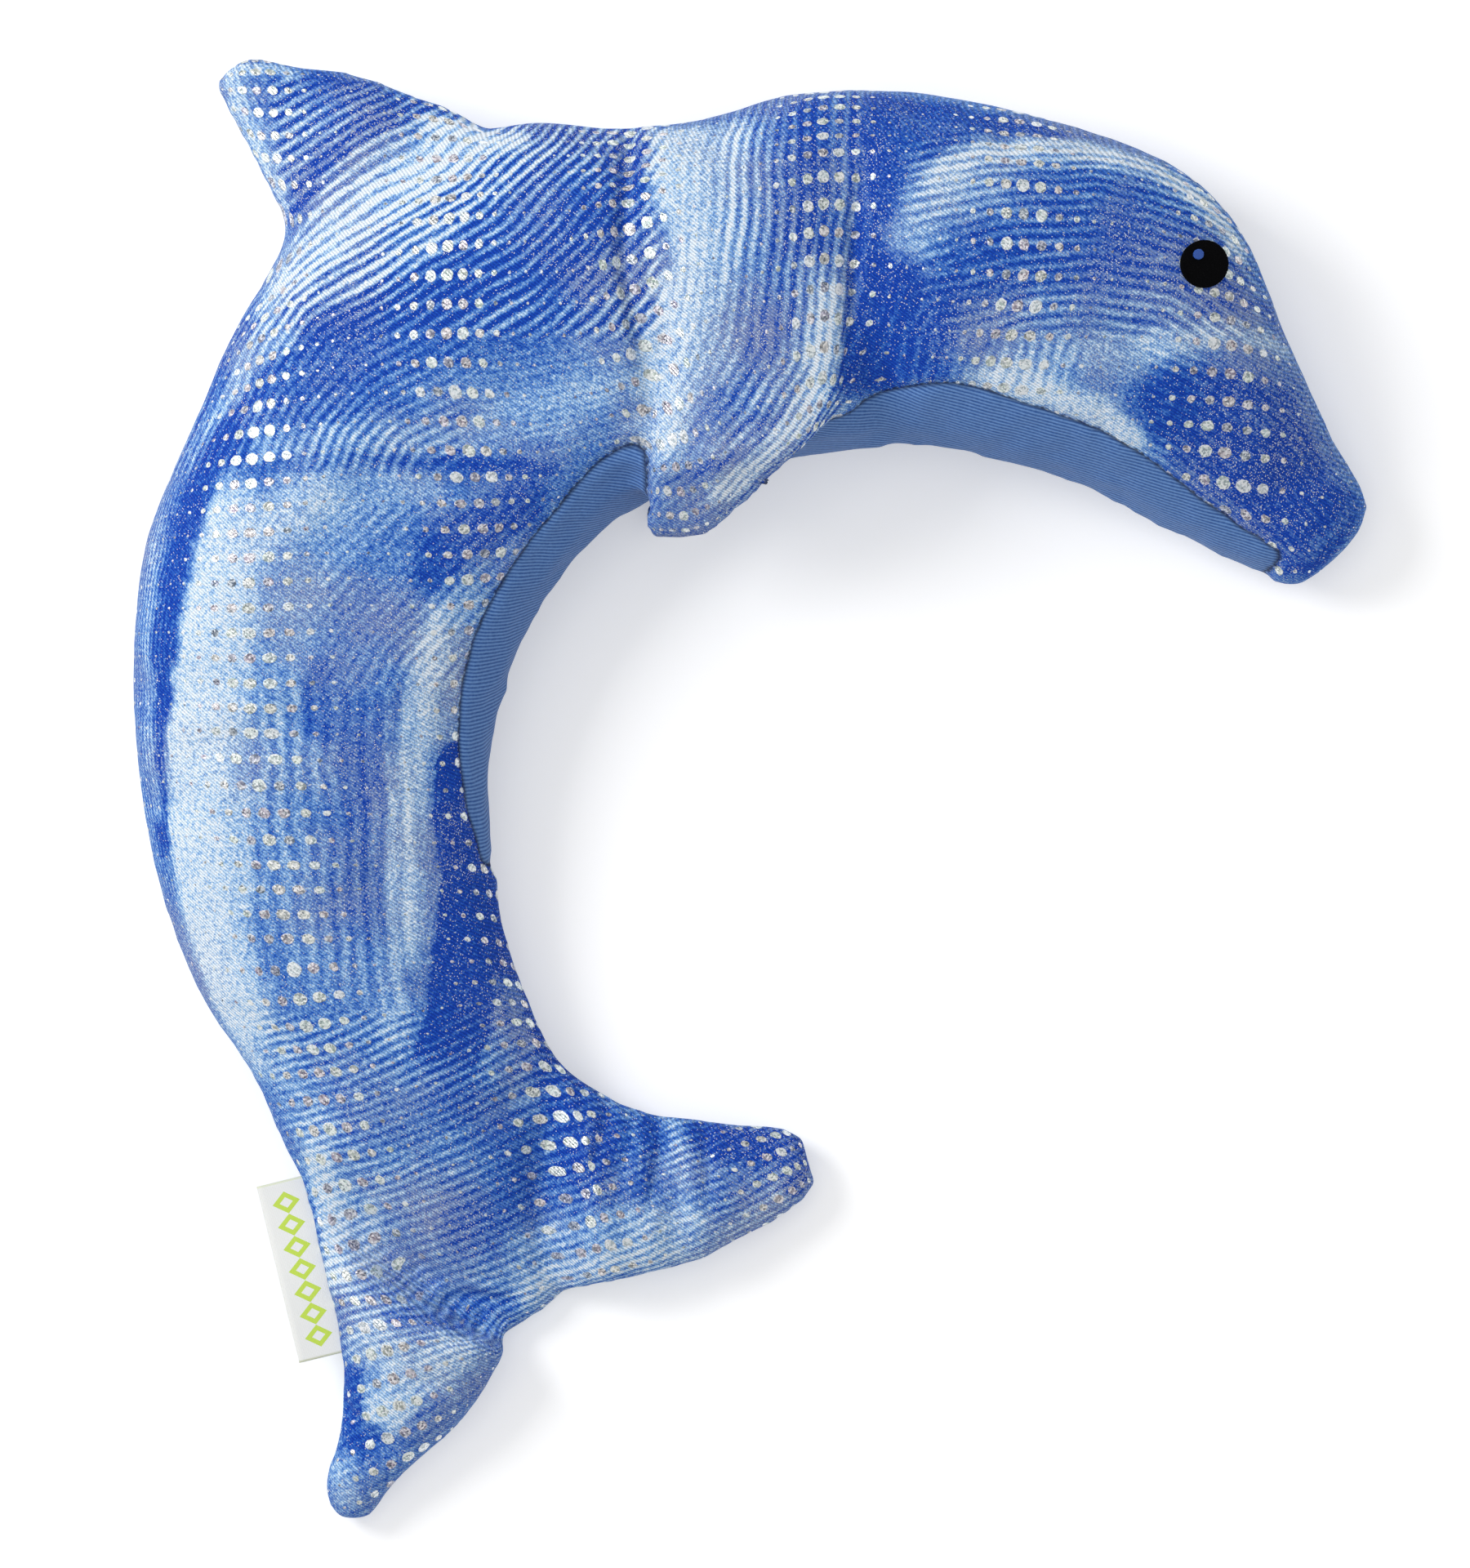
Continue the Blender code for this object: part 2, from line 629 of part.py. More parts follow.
def cut_recess(skin, kind):
    """Sinks a panel's bed into the stuffed body."""
    bed = panel_faces(skin, kind)
    layer = skin.verts.layers.float_vector.new("recess step")
    for corner in {v for f in bed for v in f.verts}:
        corner[layer] = -outward(corner, kind) * (PANEL_THICKNESS + SEAT_GAP)
    bed = panel_faces(skin, kind)
    sink(skin, bed, layer)
    bmesh.ops.delete(skin, geom=bed, context="FACES_ONLY")
    for face in panel_faces(skin, kind):
        face.material_index = SKIN
    skin.verts.layers.float_vector.remove(layer)
    bmesh.ops.recalc_face_normals(skin, faces=skin.faces)


def cut_panel(skin, kind):
    """Keeps a panel's faces, drawn in by the seam gap at their edge, as a piece of fabric."""
    panel = skin.copy()
    panel.faces.ensure_lookup_table()
    layer = panel.verts.layers.float_vector.new("fabric step")
    steps = {}
    for corner in {v for f in panel_faces(panel, kind) for v in f.verts}:
        corner[layer] = -outward(corner, kind) * PANEL_THICKNESS
        steps[corner] = way_in(corner, kind) * SEAM_GAP
    for corner, step in steps.items():
        corner.co += step
    others = [f for f in panel.faces if f.material_index != kind]
    bmesh.ops.delete(panel, geom=others, context="FACES")
    sink(panel, list(panel.faces), layer)
    for face in panel.faces:
        face.material_index = SKIN
    bmesh.ops.recalc_face_normals(panel, faces=panel.faces)
    return panel


def mesh_from(shape, name):
    mesh = bpy.data.meshes.new(name)
    shape.to_mesh(mesh)
    shape.free()
    return mesh


def round_patch(radius, sides, rings):
    """A flat disc with evenly spaced rings of corners, so that it can follow the skin."""
    disc = bmesh.new()
    bmesh.ops.create_circle(disc, cap_ends=True, radius=radius, segments=sides)
    for _ in range(rings - 1):
        top = max(disc.faces, key=lambda f: len(f.verts))
        bmesh.ops.inset_individual(disc, faces=[top], thickness=radius / rings)
    bmesh.ops.poke(disc, faces=[max(disc.faces, key=lambda f: len(f.verts))])
    return disc


def stitched_patch(name, disc, surface, centre, side, gap, thickness, collection, material):
    """A round patch of stitching that follows the skin: side is 1 on the near flank."""
    for corner in disc.verts:
        start = Vector((centre.x + corner.co.x, centre.y + corner.co.y, side))
        hit, normal, _, _ = surface.ray_cast(start, Vector((0.0, 0.0, -side)))
        corner.co = hit + normal * gap
    bmesh.ops.recalc_face_normals(disc, faces=disc.faces)
    if sum((f.normal.z for f in disc.faces)) * side < 0.0:
        bmesh.ops.reverse_faces(disc, faces=disc.faces)
    item = add_object(name, mesh_from(disc, name), collection, material)
    padding = item.modifiers.new("Stitching", "SOLIDIFY")
    padding.thickness = thickness
    padding.offset = 1.0
    return item


def add_eyes(spine, surface, collection, black, blue):
    centre = spine.point(EYE_PLACE) + spine.backward(EYE_PLACE) * EYE_OFFSET
    spot = centre + Vector((GLINT_SHIFT[0], GLINT_SHIFT[1], 0.0))
    glint_gap = SEAT_GAP + EYE_THICKNESS + SEAT_GAP
    for name, side in (("right_eye", 1), ("left_eye", -1)):
        stitched_patch(
            name, round_patch(EYE_RADIUS, EYE_SIDES, 2), surface, centre, side,
            SEAT_GAP, EYE_THICKNESS, collection, black,
        )
        stitched_patch(
            name + "_glint", round_patch(GLINT_RADIUS, GLINT_SIDES, 1), surface, spot, side,
            glint_gap, GLINT_THICKNESS, collection, blue,
        )


def label_frame(spine, surface):
    """Where the label leaves the back seam: its middle, the seam's run and the way out."""
    def seam_hit(along):
        start = spine.point(along) + spine.backward(along) * OUTSIDE_REACH
        start.z = LABEL_HEIGHT
        return surface.ray_cast(start, -spine.backward(along))[0]

    middle = seam_hit(LABEL_PLACE)
    reach = LABEL_RUN_SHARE * LABEL_WIDTH
    run = (seam_hit(LABEL_PLACE + reach) - seam_hit(LABEL_PLACE - reach)).normalized()
    out = Vector((-run.y, run.x, 0.0))
    if out.dot(spine.backward(LABEL_PLACE)) < 0.0:
        out.negate()
        run.negate()
    return middle, run, out


def add_label(spine, surface, body, parts, cutters, material):
    middle, run, out = label_frame(spine, surface)
    up = Vector((0.0, 0.0, 1.0))
    turn = Matrix((run, out, up)).transposed().to_4x4()
    bend = LABEL_FOLD_RADIUS
    profile = [(-LABEL_ROOT, bend)]
    bend_start = LABEL_SHOWN - bend - 0.5 * TAPE_THICKNESS
    for i in range(LABEL_FOLD_STEPS + 1):
        turned = math.pi * (0.5 - i / LABEL_FOLD_STEPS)
        profile.append((bend_start + bend * math.cos(turned), bend * math.sin(turned)))
    profile.append((-LABEL_ROOT, -bend))
    tape = bmesh.new()
    rows = []
    for k in range(LABEL_WIDTH_STEPS + 1):
        x = LABEL_WIDTH * (k / LABEL_WIDTH_STEPS - 0.5)
        rows.append([tape.verts.new((x, y, z)) for y, z in profile])
    for a, b in zip(rows, rows[1:]):
        for i in range(len(profile) - 1):
            tape.faces.new((a[i], a[i + 1], b[i + 1], b[i]))
    bmesh.ops.recalc_face_normals(tape, faces=tape.faces)
    label = add_object("side_label", mesh_from(tape, "side_label"), parts, material)
    label.matrix_world = Matrix.Translation(middle) @ turn
    folded = label.modifiers.new("Tape", "SOLIDIFY")
    folded.thickness = TAPE_THICKNESS
    folded.offset = 0.0

    thick = 2.0 * (bend + 0.5 * TAPE_THICKNESS + SEAT_GAP)
    slot_depth = LABEL_ROOT + SEAT_GAP
    slot = bmesh.new()
    bmesh.ops.create_cube(slot, size=1.0)
    size = (LABEL_WIDTH + 2.0 * SEAT_GAP, slot_depth + LABEL_SHOWN, thick)
    bmesh.ops.scale(slot, vec=size, verts=slot.verts)
    shift = Vector((0.0, 0.5 * (LABEL_SHOWN - slot_depth), 0.0))
    bmesh.ops.translate(slot, vec=shift, verts=slot.verts)
    cutter = add_object("label_slot", mesh_from(slot, "label_slot"), cutters)
    cutter.matrix_world = label.matrix_world.copy()
    cutter.hide_render = True
    cutter.display_type = "WIRE"
    opening = body.modifiers.new("Label slot", "BOOLEAN")
    opening.operation = "DIFFERENCE"
    opening.object = cutter
    opening.solver = "EXACT"


def centre_on_floor(parts, cutters):
    """Puts the origin under the middle of the whole toy's box."""
    bpy.context.view_layer.update()
    graph = bpy.context.evaluated_depsgraph_get()
    corners = []
    for item in parts.objects:
        shape = item.evaluated_get(graph)
        corners.extend(item.matrix_world @ Vector(c) for c in shape.bound_box)
    low = Vector(min(c[i] for c in corners) for i in range(3))
    high = Vector(max(c[i] for c in corners) for i in range(3))
    shift = Vector((-0.5 * (low.x + high.x), -0.5 * (low.y + high.y), -low.z))
    for item in [*parts.objects, *cutters.objects]:
        item.matrix_world = Matrix.Translation(shift) @ item.matrix_world


def build():
    clear_scene()
    parts = new_collection(NAME)
    cutters = new_collection("cutters")
    velour = new_material("printed_velour", VELOUR_BLUE, 0.75)
    twill = new_material("blue_twill", TWILL_BLUE, 0.85)
    black = new_material("black_thread", THREAD_BLACK, 0.6)
    blue = new_material("blue_thread", THREAD_BLUE, 0.5)
    tape = new_material("white_tape", TAPE_WHITE, 0.7)

    spine = Spine(SPINE)
    skin = build_skin(spine)
    surface = BVHTree.FromBMesh(skin)
    for kind, name in PANEL_NAMES.items():
        add_object(name, mesh_from(cut_panel(skin, kind), name), parts, twill)
    for kind in PANEL_NAMES:
        cut_recess(skin, kind)
    body = add_object("stuffed_body", mesh_from(skin, "stuffed_body"), parts, velour)
    add_eyes(spine, surface, parts, black, blue)
    add_label(spine, surface, body, parts, cutters, tape)
    centre_on_floor(parts, cutters)


build()
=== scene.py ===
# %% [markdown]
# # A plush dolphin in marbled velour
# The toy is a filled skin: two flanks of short-pile velour, sewn together along the back and, on
# the other side, to a belly strip of ribbed twill. The solids of the toy are loaded first and
# stay where they are. Everything made below is laid over them: the sewn skin, its dye, its foil
# dots, the eyes and the tape in the back seam.

# %% The solids that carry the looks
import math

import bmesh
import bpy
import numpy as np
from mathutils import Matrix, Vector, noise
from mathutils.bvhtree import BVHTree


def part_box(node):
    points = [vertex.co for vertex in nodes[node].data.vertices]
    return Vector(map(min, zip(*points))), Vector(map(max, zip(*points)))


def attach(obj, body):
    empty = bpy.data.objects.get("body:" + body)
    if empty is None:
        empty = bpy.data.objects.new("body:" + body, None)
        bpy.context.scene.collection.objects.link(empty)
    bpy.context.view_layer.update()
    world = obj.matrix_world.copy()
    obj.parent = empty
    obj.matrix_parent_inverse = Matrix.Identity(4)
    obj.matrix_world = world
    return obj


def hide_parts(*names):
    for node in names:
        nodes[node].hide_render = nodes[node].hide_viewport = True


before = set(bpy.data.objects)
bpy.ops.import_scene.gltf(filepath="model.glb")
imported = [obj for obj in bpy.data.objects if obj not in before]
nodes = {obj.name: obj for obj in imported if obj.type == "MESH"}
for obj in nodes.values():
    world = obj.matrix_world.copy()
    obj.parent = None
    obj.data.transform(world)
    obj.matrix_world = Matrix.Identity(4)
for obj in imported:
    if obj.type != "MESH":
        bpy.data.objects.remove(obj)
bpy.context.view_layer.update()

scene = bpy.context.scene
print("solids:", ", ".join(sorted(nodes)))

# %% [markdown]
# ## The camera
# The photograph looks straight down on the toy. Its eye and its tape have stock sizes, and both
# give the same scale, so a point of the photograph is also a place on the table. The small
# helper below turns one into the other, and every given mark uses it.

# %% Camera and the photograph's scale
PHOTO_WIDTH, PHOTO_HEIGHT = 1800, 1920
METRES_PER_PIXEL = 0.000225
ORIGIN_PIXEL = (919.3, 967.5)
CAMERA_DISTANCE = 4.0
MIDDLE_HEIGHT = 0.020
SENSOR = 36.0


def table_spot(px, py):
    """The place on the table, in metres, under a point of the photograph."""
    return ((px - ORIGIN_PIXEL[0]) * METRES_PER_PIXEL, (ORIGIN_PIXEL[1] - py) * METRES_PER_PIXEL)


lens = bpy.data.cameras.new("view_from_above")
lens.sensor_fit = "VERTICAL"
lens.sensor_height = SENSOR
lens.lens = SENSOR * CAMERA_DISTANCE / (PHOTO_HEIGHT * METRES_PER_PIXEL)
camera = bpy.data.objects.new("view_from_above", lens)
scene.collection.objects.link(camera)
middle = table_spot(0.5 * PHOTO_WIDTH, 0.5 * PHOTO_HEIGHT)
camera.location = (*middle, MIDDLE_HEIGHT + CAMERA_DISTANCE)
scene.camera = camera
print("lens", round(lens.lens, 1), "mm")

# %% [markdown]
# ## Floor and light
# A pale floor and large soft lamps show pile and foil without hard shadows. The lamps add up to
# a level at which a colour comes out about as it is written. The floor is nearly white, and a
# little light is added to it for the camera and for mirrored rays, so the toy isn't lit by it.

# %% Floor and light
FLOOR_SIDE = 6.0
FLOOR_DROP = 0.0004
FLOOR_LIFT = 0.32
FLOOR_PAINT = (0.92, 0.92, 0.92, 1.0)
WHITE = (1.0, 1.0, 1.0, 1.0)
SKY_STRENGTH = 0.54
# Each lamp: its name, its place, the side of its square and its power
LAMPS = (
    ("soft_key", (-1.15, 0.60, 1.15), 0.7, 14.0),
    ("overhead_soft", (-0.2, 0.2, 2.3), 1.2, 4.5),
)


def new_material(name, values):
    """A node material, its tree and its Principled shader, with some plain values set."""
    material = bpy.data.materials.new(name)
    material.use_nodes = True
    tree = material.node_tree
    face = tree.nodes["Principled BSDF"]
    for label, value in values.items():
        face.inputs[label].default_value = value
    return material, tree, face


def feed(tree, socket, value):
    """Gives a socket a link, or a plain value."""
    if isinstance(value, bpy.types.NodeSocket):
        tree.links.new(value, socket)
    else:
        socket.default_value = value


def add_node(tree, kind, inputs=None, **settings):
    """One shader node: its settings, then values or links for its inputs."""
    node = tree.nodes.new(kind)
    for name, value in settings.items():
        setattr(node, name, value)
    for key, value in (inputs or {}).items():
        feed(tree, node.inputs[key], value)
    return node


def maths(tree, operation, *values, clamp=False):
    """One Math node, and the socket that it puts out."""
    node = add_node(tree, "ShaderNodeMath", operation=operation, use_clamp=clamp)
    for socket, value in zip(node.inputs, values):
        feed(tree, socket, value)
    return node.outputs[0]


bpy.ops.object.select_all(action="DESELECT")
bpy.ops.mesh.primitive_plane_add(size=FLOOR_SIDE, location=(0.0, 0.0, -FLOOR_DROP))
floor = bpy.context.object
floor.name = "floor"
floor_paint, tree, paint = new_material(
    "pale floor", {"Base Color": FLOOR_PAINT, "Roughness": 0.9, "Emission Color": WHITE})
seen = add_node(tree, "ShaderNodeLightPath")
looks = maths(tree, "MAXIMUM", seen.outputs["Is Camera Ray"], seen.outputs["Is Glossy Ray"])
lift = maths(tree, "MULTIPLY", looks, FLOOR_LIFT)
tree.links.new(lift, paint.inputs["Emission Strength"])
floor.data.materials.append(floor_paint)

sky = bpy.data.worlds.new("studio")
sky.use_nodes = True
scene.world = sky
backdrop = sky.node_tree.nodes["Background"]
backdrop.inputs["Color"].default_value = WHITE
seen = add_node(sky.node_tree, "ShaderNodeLightPath")
extra = maths(sky.node_tree, "MULTIPLY", seen.outputs["Is Camera Ray"], 1.0 - SKY_STRENGTH)
strength = maths(sky.node_tree, "ADD", extra, SKY_STRENGTH)
sky.node_tree.links.new(strength, backdrop.inputs["Strength"])
scene.view_settings.view_transform = "Standard"


def add_lamp(name, place, size, power):
    """A square soft lamp that looks at the toy's middle."""
    lamp = bpy.data.lights.new(name, "AREA")
    lamp.shape = "SQUARE"
    lamp.size = size
    lamp.energy = power
    holder = bpy.data.objects.new(name, lamp)
    scene.collection.objects.link(holder)
    holder.location = place
    aim = Vector((0.0, 0.0, MIDDLE_HEIGHT)) - Vector(place)
    holder.rotation_euler = aim.to_track_quat("-Z", "Y").to_euler()


for lamp in LAMPS:
    add_lamp(*lamp)

# %% [markdown]
# ## The sewn skin
# A filled toy has one continuous outside, so the body and the three twill panels are copied,
# joined and wrapped in one even net of small faces by a voxel remesh. The net is what cloth
# needs: its own points can move a little when the filling presses on them.

# %% One even net over the body and its panels
PANELS = ("belly_gusset", "right_flipper_lining", "left_flipper_lining")
NET_SIZE = 0.003
NET_EASE, NET_EASE_SHARE = 3, 0.5
WELD = 0.00001


def copied(node):
    """A copy of a solid's mesh with its loose triangles merged."""
    piece = bpy.data.objects.new(node + "_copy", nodes[node].data.copy())
    scene.collection.objects.link(piece)
    shape = bmesh.new()
    shape.from_mesh(piece.data)
    bmesh.ops.remove_doubles(shape, verts=shape.verts, dist=WELD)
    shape.to_mesh(piece.data)
    shape.free()
    return piece


def surface_of(names):
    """A search tree of some solids' faces, to measure distances to them."""
    points, faces = [], []
    for name in names:
        start = len(points)
        mesh = nodes[name].data
        points.extend(v.co.copy() for v in mesh.vertices)
        faces.extend([start + i for i in p.vertices] for p in mesh.polygons)
    return BVHTree.FromPolygons(points, faces)


def use_modifier(piece, kind, **settings):
    """Adds one modifier and applies it."""
    bpy.context.view_layer.objects.active = piece
    change = piece.modifiers.new(kind.title(), kind)
    for name, value in settings.items():
        setattr(change, name, value)
    bpy.ops.object.modifier_apply(modifier=change.name)


bpy.ops.object.select_all(action="DESELECT")
layers = [copied(name) for name in ("stuffed_body", *PANELS)]
for layer in layers:
    layer.select_set(True)
bpy.context.view_layer.objects.active = layers[0]
bpy.ops.object.join()
skin = layers[0]
skin.name = "velour_skin"
skin.data.materials.clear()
use_modifier(skin, "REMESH", mode="VOXEL", voxel_size=NET_SIZE, use_smooth_shade=True)
use_modifier(skin, "SMOOTH", factor=NET_EASE_SHARE, iterations=NET_EASE)
print("net of", len(skin.data.polygons), "faces")


# %% Reading and writing the net as arrays
def points_of(mesh):
    """The places of a mesh's points, one row each."""
    flat = np.empty(3 * len(mesh.vertices), dtype=np.float32)
    mesh.vertices.foreach_get("co", flat)
    return flat.reshape(-1, 3).astype(np.float64)


def normals_of(mesh):
    """Which way a mesh faces at its points."""
    flat = np.empty(3 * len(mesh.vertices), dtype=np.float32)
    mesh.vertex_normals.foreach_get("vector", flat)
    return flat.reshape(-1, 3).astype(np.float64)


def set_points(mesh, points):
    """Moves a mesh's points."""
    mesh.vertices.foreach_set("co", points.astype(np.float32).ravel())
    mesh.update()


def keep(mesh, name, values):
    """Stores numbers, or triples of numbers, on the points of a mesh."""
    kind = "FLOAT" if values.ndim == 1 else "FLOAT_VECTOR"
    layer = mesh.attributes.get(name) or mesh.attributes.new(name, kind, "POINT")
    layer.data.foreach_set("value" if kind == "FLOAT" else "vector", values.astype(np.float32).ravel())


def kept(mesh, name):
    """Reads what keep has stored."""
    layer = mesh.attributes[name]
    single = layer.data_type == "FLOAT"
    values = np.empty(len(mesh.vertices) * (1 if single else 3), dtype=np.float32)
    layer.data.foreach_get("value" if single else "vector", values)
    return (values if single else values.reshape(-1, 3)).astype(np.float64)


def eased(mesh, values, rounds):
    """Evens numbers out between neighbouring points of the net."""
    ends = np.empty(2 * len(mesh.edges), dtype=np.int32)
    mesh.edges.foreach_get("vertices", ends)
    a, b = ends.reshape(-1, 2).T
    size = len(values)
    around = np.bincount(a, minlength=size) + np.bincount(b, minlength=size)
    for _ in range(rounds):
        total = np.bincount(a, values[b], size) + np.bincount(b, values[a], size)
        values = 0.5 * values + 0.5 * total / np.maximum(around, 1)
    return values


def between(x, low, high):
    """0 below low, 1 above high, and a smooth rise from one to the other."""
    t = np.clip((x - low) / (high - low), 0.0, 1.0)
    return t * t * (3.0 - 2.0 * t)


# %% [markdown]
# ### Where the seams are
# The twill panels are solids of their own, so a point of the net is on twill where a panel is
# nearer than the body, and on velour where the body is. The difference of the two distances is
# zero along the seam, and near it it is the distance to the seam.

# %% Distance to the twill seam, and which flank a point is on
SEAM_EASE = 4
FLANK_EASE = 6

panel_faces = surface_of(PANELS)
body_faces = surface_of(("stuffed_body",))
places = points_of(skin.data)
to_seam = np.array([
    body_faces.find_nearest(p)[3] - panel_faces.find_nearest(p)[3] for p in map(Vector, places)
])
keep(skin.data, "seam", eased(skin.data, to_seam, SEAM_EASE))
keep(skin.data, "flank", eased(skin.data, normals_of(skin.data)[:, 2], FLANK_EASE))
print("points on twill:", int((to_seam > 0.0).sum()))

# %% [markdown]
# ## How the print lies on the cloth
# The print belongs to flat cloth, and the cloth bends down over the sides. Seen from above, a
# point on the side is closer in than it is on the cloth, so it is moved out again by the length
# that the bend hides. Dot rows and dye are then read at that place. The rows tilt where the
# cloth was turned to be sewn, on the head and towards the tail.

# %% Places on the flat cloth
BEND_SHARE = 0.456
BEND_POWER = 1.1
BEND_EASE, HIDDEN_EASE = 3, 4
PROBES = (0.008, 0.016, 0.028)
THINNEST_HALF = 0.006
FAR_ABOVE = 0.2


def half_thickness(points, outwards):
    """Half of the toy's thickness a little way in from each point."""
    largest = np.full(len(points), THINNEST_HALF)
    for reach in PROBES:
        for i, p in enumerate(points - outwards * reach):
            above = Vector((p[0], p[1], FAR_ABOVE))
            hit = body_faces.ray_cast(above, Vector((0.0, 0.0, -1.0)))[0]
            if hit is not None:
                largest[i] = max(largest[i], 0.5 * hit.z)
    return largest


mesh = skin.data
places, outward = points_of(mesh), normals_of(mesh)
level = outward * (1.0, 1.0, 0.0)
level /= np.maximum(np.linalg.norm(level, axis=1, keepdims=True), 1e-6)
steep = 1.0 - np.abs(eased(mesh, outward[:, 2], BEND_EASE))
hidden = BEND_SHARE * steep ** BEND_POWER * half_thickness(places, level)
hidden = eased(mesh, hidden, HIDDEN_EASE)
flat_places = (places + level * hidden[:, None]) * (1.0, 1.0, 0.0)
keep(mesh, "flat", flat_places)
print("largest part hidden by the bend:", round(1000.0 * float(hidden.max()), 1), "mm")

# %% [markdown]
# ### Pressed out by the filling
# Cloth simulation gives the skin the small unevenness of filled fabric. The skin starts a little
# too small, the seams are pinned, and the cloth is a little longer than the shape, so it crowns
# between the seams and puckers beside them. A cap keeps every point near where it started.

# %% Filling presses the skin out
PRESSURE = 4.0
SPARE_CLOTH = 0.020
FRAMES = 20
START_SMALLER = 0.0012
LARGEST_MOVE = 0.0016
SEAM_HELD = (0.001, 0.004)
BACK_HOLD, BACK_HELD = 0.9, (0.05, 0.25)
LEAST_HOLD = 0.01
MOVE_EASE = 4


def filled(piece):
    """Cloth, pressed out from inside, with its seams pinned and its motion capped."""
    mesh = piece.data
    before = points_of(mesh)
    set_points(mesh, before - normals_of(mesh) * START_SMALLER)
    hold = 1.0 - between(np.abs(kept(mesh, "seam")), *SEAM_HELD)
    hold = np.maximum(hold, BACK_HOLD * (1.0 - between(np.abs(kept(mesh, "flank")), *BACK_HELD)))
    pins = piece.vertex_groups.new(name="seams")
    for i, weight in enumerate(hold):
        if weight > LEAST_HOLD:
            pins.add([i], float(weight), "REPLACE")
    bpy.context.view_layer.objects.active = piece
    cloth = piece.modifiers.new("Filling", "CLOTH")
    rules = cloth.settings
    rules.use_pressure = True
    rules.uniform_pressure_force = PRESSURE
    rules.effector_weights.gravity = 0.0
    rules.vertex_group_mass = "seams"
    rules.shrink_min = -SPARE_CLOTH
    rules.quality = 4
    cloth.collision_settings.use_collision = False
    cloth.point_cache.frame_start = 1
    cloth.point_cache.frame_end = FRAMES
    for frame_number in range(1, FRAMES + 1):
        scene.frame_set(frame_number)
    bpy.ops.object.modifier_apply(modifier=cloth.name)
    scene.frame_set(1)
    move = points_of(mesh) - before
    for axis in range(3):
        move[:, axis] = eased(mesh, move[:, axis], MOVE_EASE)
    length = np.linalg.norm(move, axis=1, keepdims=True)
    move *= np.minimum(1.0, LARGEST_MOVE / np.maximum(length, 1e-9))
    after = before + move
    after[:, 2] = np.maximum(after[:, 2], 0.0)
    set_points(mesh, after)
    print("filled: moved up to", round(1000.0 * float(length.max()), 1), "mm before the cap")


filled(skin)
use_modifier(skin, "SUBSURF", levels=1, render_levels=1)
print("skin:", len(skin.data.polygons), "faces")

# %% [markdown]
# ### Creases that the photograph shows
# Beside the flipper and at the root of the tail the cloth folds where it was gathered into a
# seam. Each fold is a line drawn on the photograph with a width and a depth, and the skin is
# pushed in along it, most of all in its middle. Finer puckers follow the seam all round, and the
# filling shows as slow lumps.

# %% Folds, puckers and lumps
# Each fold: its depth in millimetres (a ridge is negative), its width in millimetres, its points
FOLDS = (
    (2.2, 3.6, ((776, 90), (768, 220), (765, 330), (789, 434), (800, 500))),
    (1.8, 3.5, ((1060, 193), (1046, 275), (1044, 358), (1040, 430), (1034, 500))),
    (1.2, 3.0, ((800, 1350), (812, 1400), (800, 1460), (790, 1500))),
    (-1.0, 4.5, ((826, 1352), (842, 1420), (850, 1490), (858, 1536))),
    (1.4, 2.6, ((862, 1362), (866, 1420), (868, 1480))),
    (1.0, 3.0, ((745, 1332), (742, 1380), (722, 1440), (708, 1500))),
    (0.9, 3.0, ((775, 1342), (772, 1400), (755, 1460))),
    (0.7, 3.0, ((710, 1316), (712, 1370), (694, 1430))),
    (1.5, 3.2, ((646, 1600), (610, 1594), (570, 1590), (530, 1600))),
    (0.9, 3.0, ((640, 1612), (600, 1622), (560, 1640), (520, 1650))),
    (0.8, 3.0, ((648, 1588), (610, 1570), (570, 1562))),
    (1.6, 3.0, ((400, 1700), (425, 1730), (455, 1762), (480, 1775))),
    (0.7, 3.2, ((560, 1700), (530, 1690), (500, 1700))),
    (0.8, 2.6, ((1100, 484), (1090, 470), (1082, 440), (1086, 410))),
    (0.7, 2.6, ((1060, 495), (1064, 470), (1058, 440))),
    (0.9, 3.0, ((640, 640), (610, 620), (570, 600), (520, 590))),
    (0.6, 2.6, ((1340, 540), (1350, 520), (1345, 490))),
    (0.8, 3.0, ((330, 255), (360, 250), (400, 235), (450, 205))),
)
FOLD_SPREAD = 0.6
FOLD_END_SHARE = 0.3
PUCKER_DEPTH = 0.0007
PUCKER_SIZE = 0.007
PUCKER_REACH = 0.012
LUMP_DEPTH = 0.0006
LUMP_SIZE = 0.030
SEAM_DEPTH = 0.0011
SEAM_WIDTH = 0.0016
BACK_SEAM_DEPTH = 0.0006
BACK_SEAM_WIDTH = 0.10
PILE_BEGINS = 0.003
FACING_UP = (0.05, 0.5)
OFF_THE_TABLE = (0.0005, 0.004)


def pixels_of(points):
    """Where points stand in the photograph, seen straight from above."""
    px = points[:, 0] / METRES_PER_PIXEL + ORIGIN_PIXEL[0]
    py = ORIGIN_PIXEL[1] - points[:, 1] / METRES_PER_PIXEL
    return px, py


def from_line(px, py, line):
    """How far points of the photograph are from a line drawn on it, and how far along it."""
    nearest = np.full(px.shape, 1e9)
    along = np.zeros(px.shape)
    start = 0.0
    for (ax, ay), (bx, by) in zip(line, line[1:]):
        run = math.hypot(bx - ax, by - ay)
        t = np.clip(((px - ax) * (bx - ax) + (py - ay) * (by - ay)) / run ** 2, 0.0, 1.0)
        away = np.hypot(px - ax - t * (bx - ax), py - ay - t * (by - ay))
        closer = away < nearest
        nearest[closer] = away[closer]
        along[closer] = start + t[closer] * run
        start += run
    return nearest, along / start


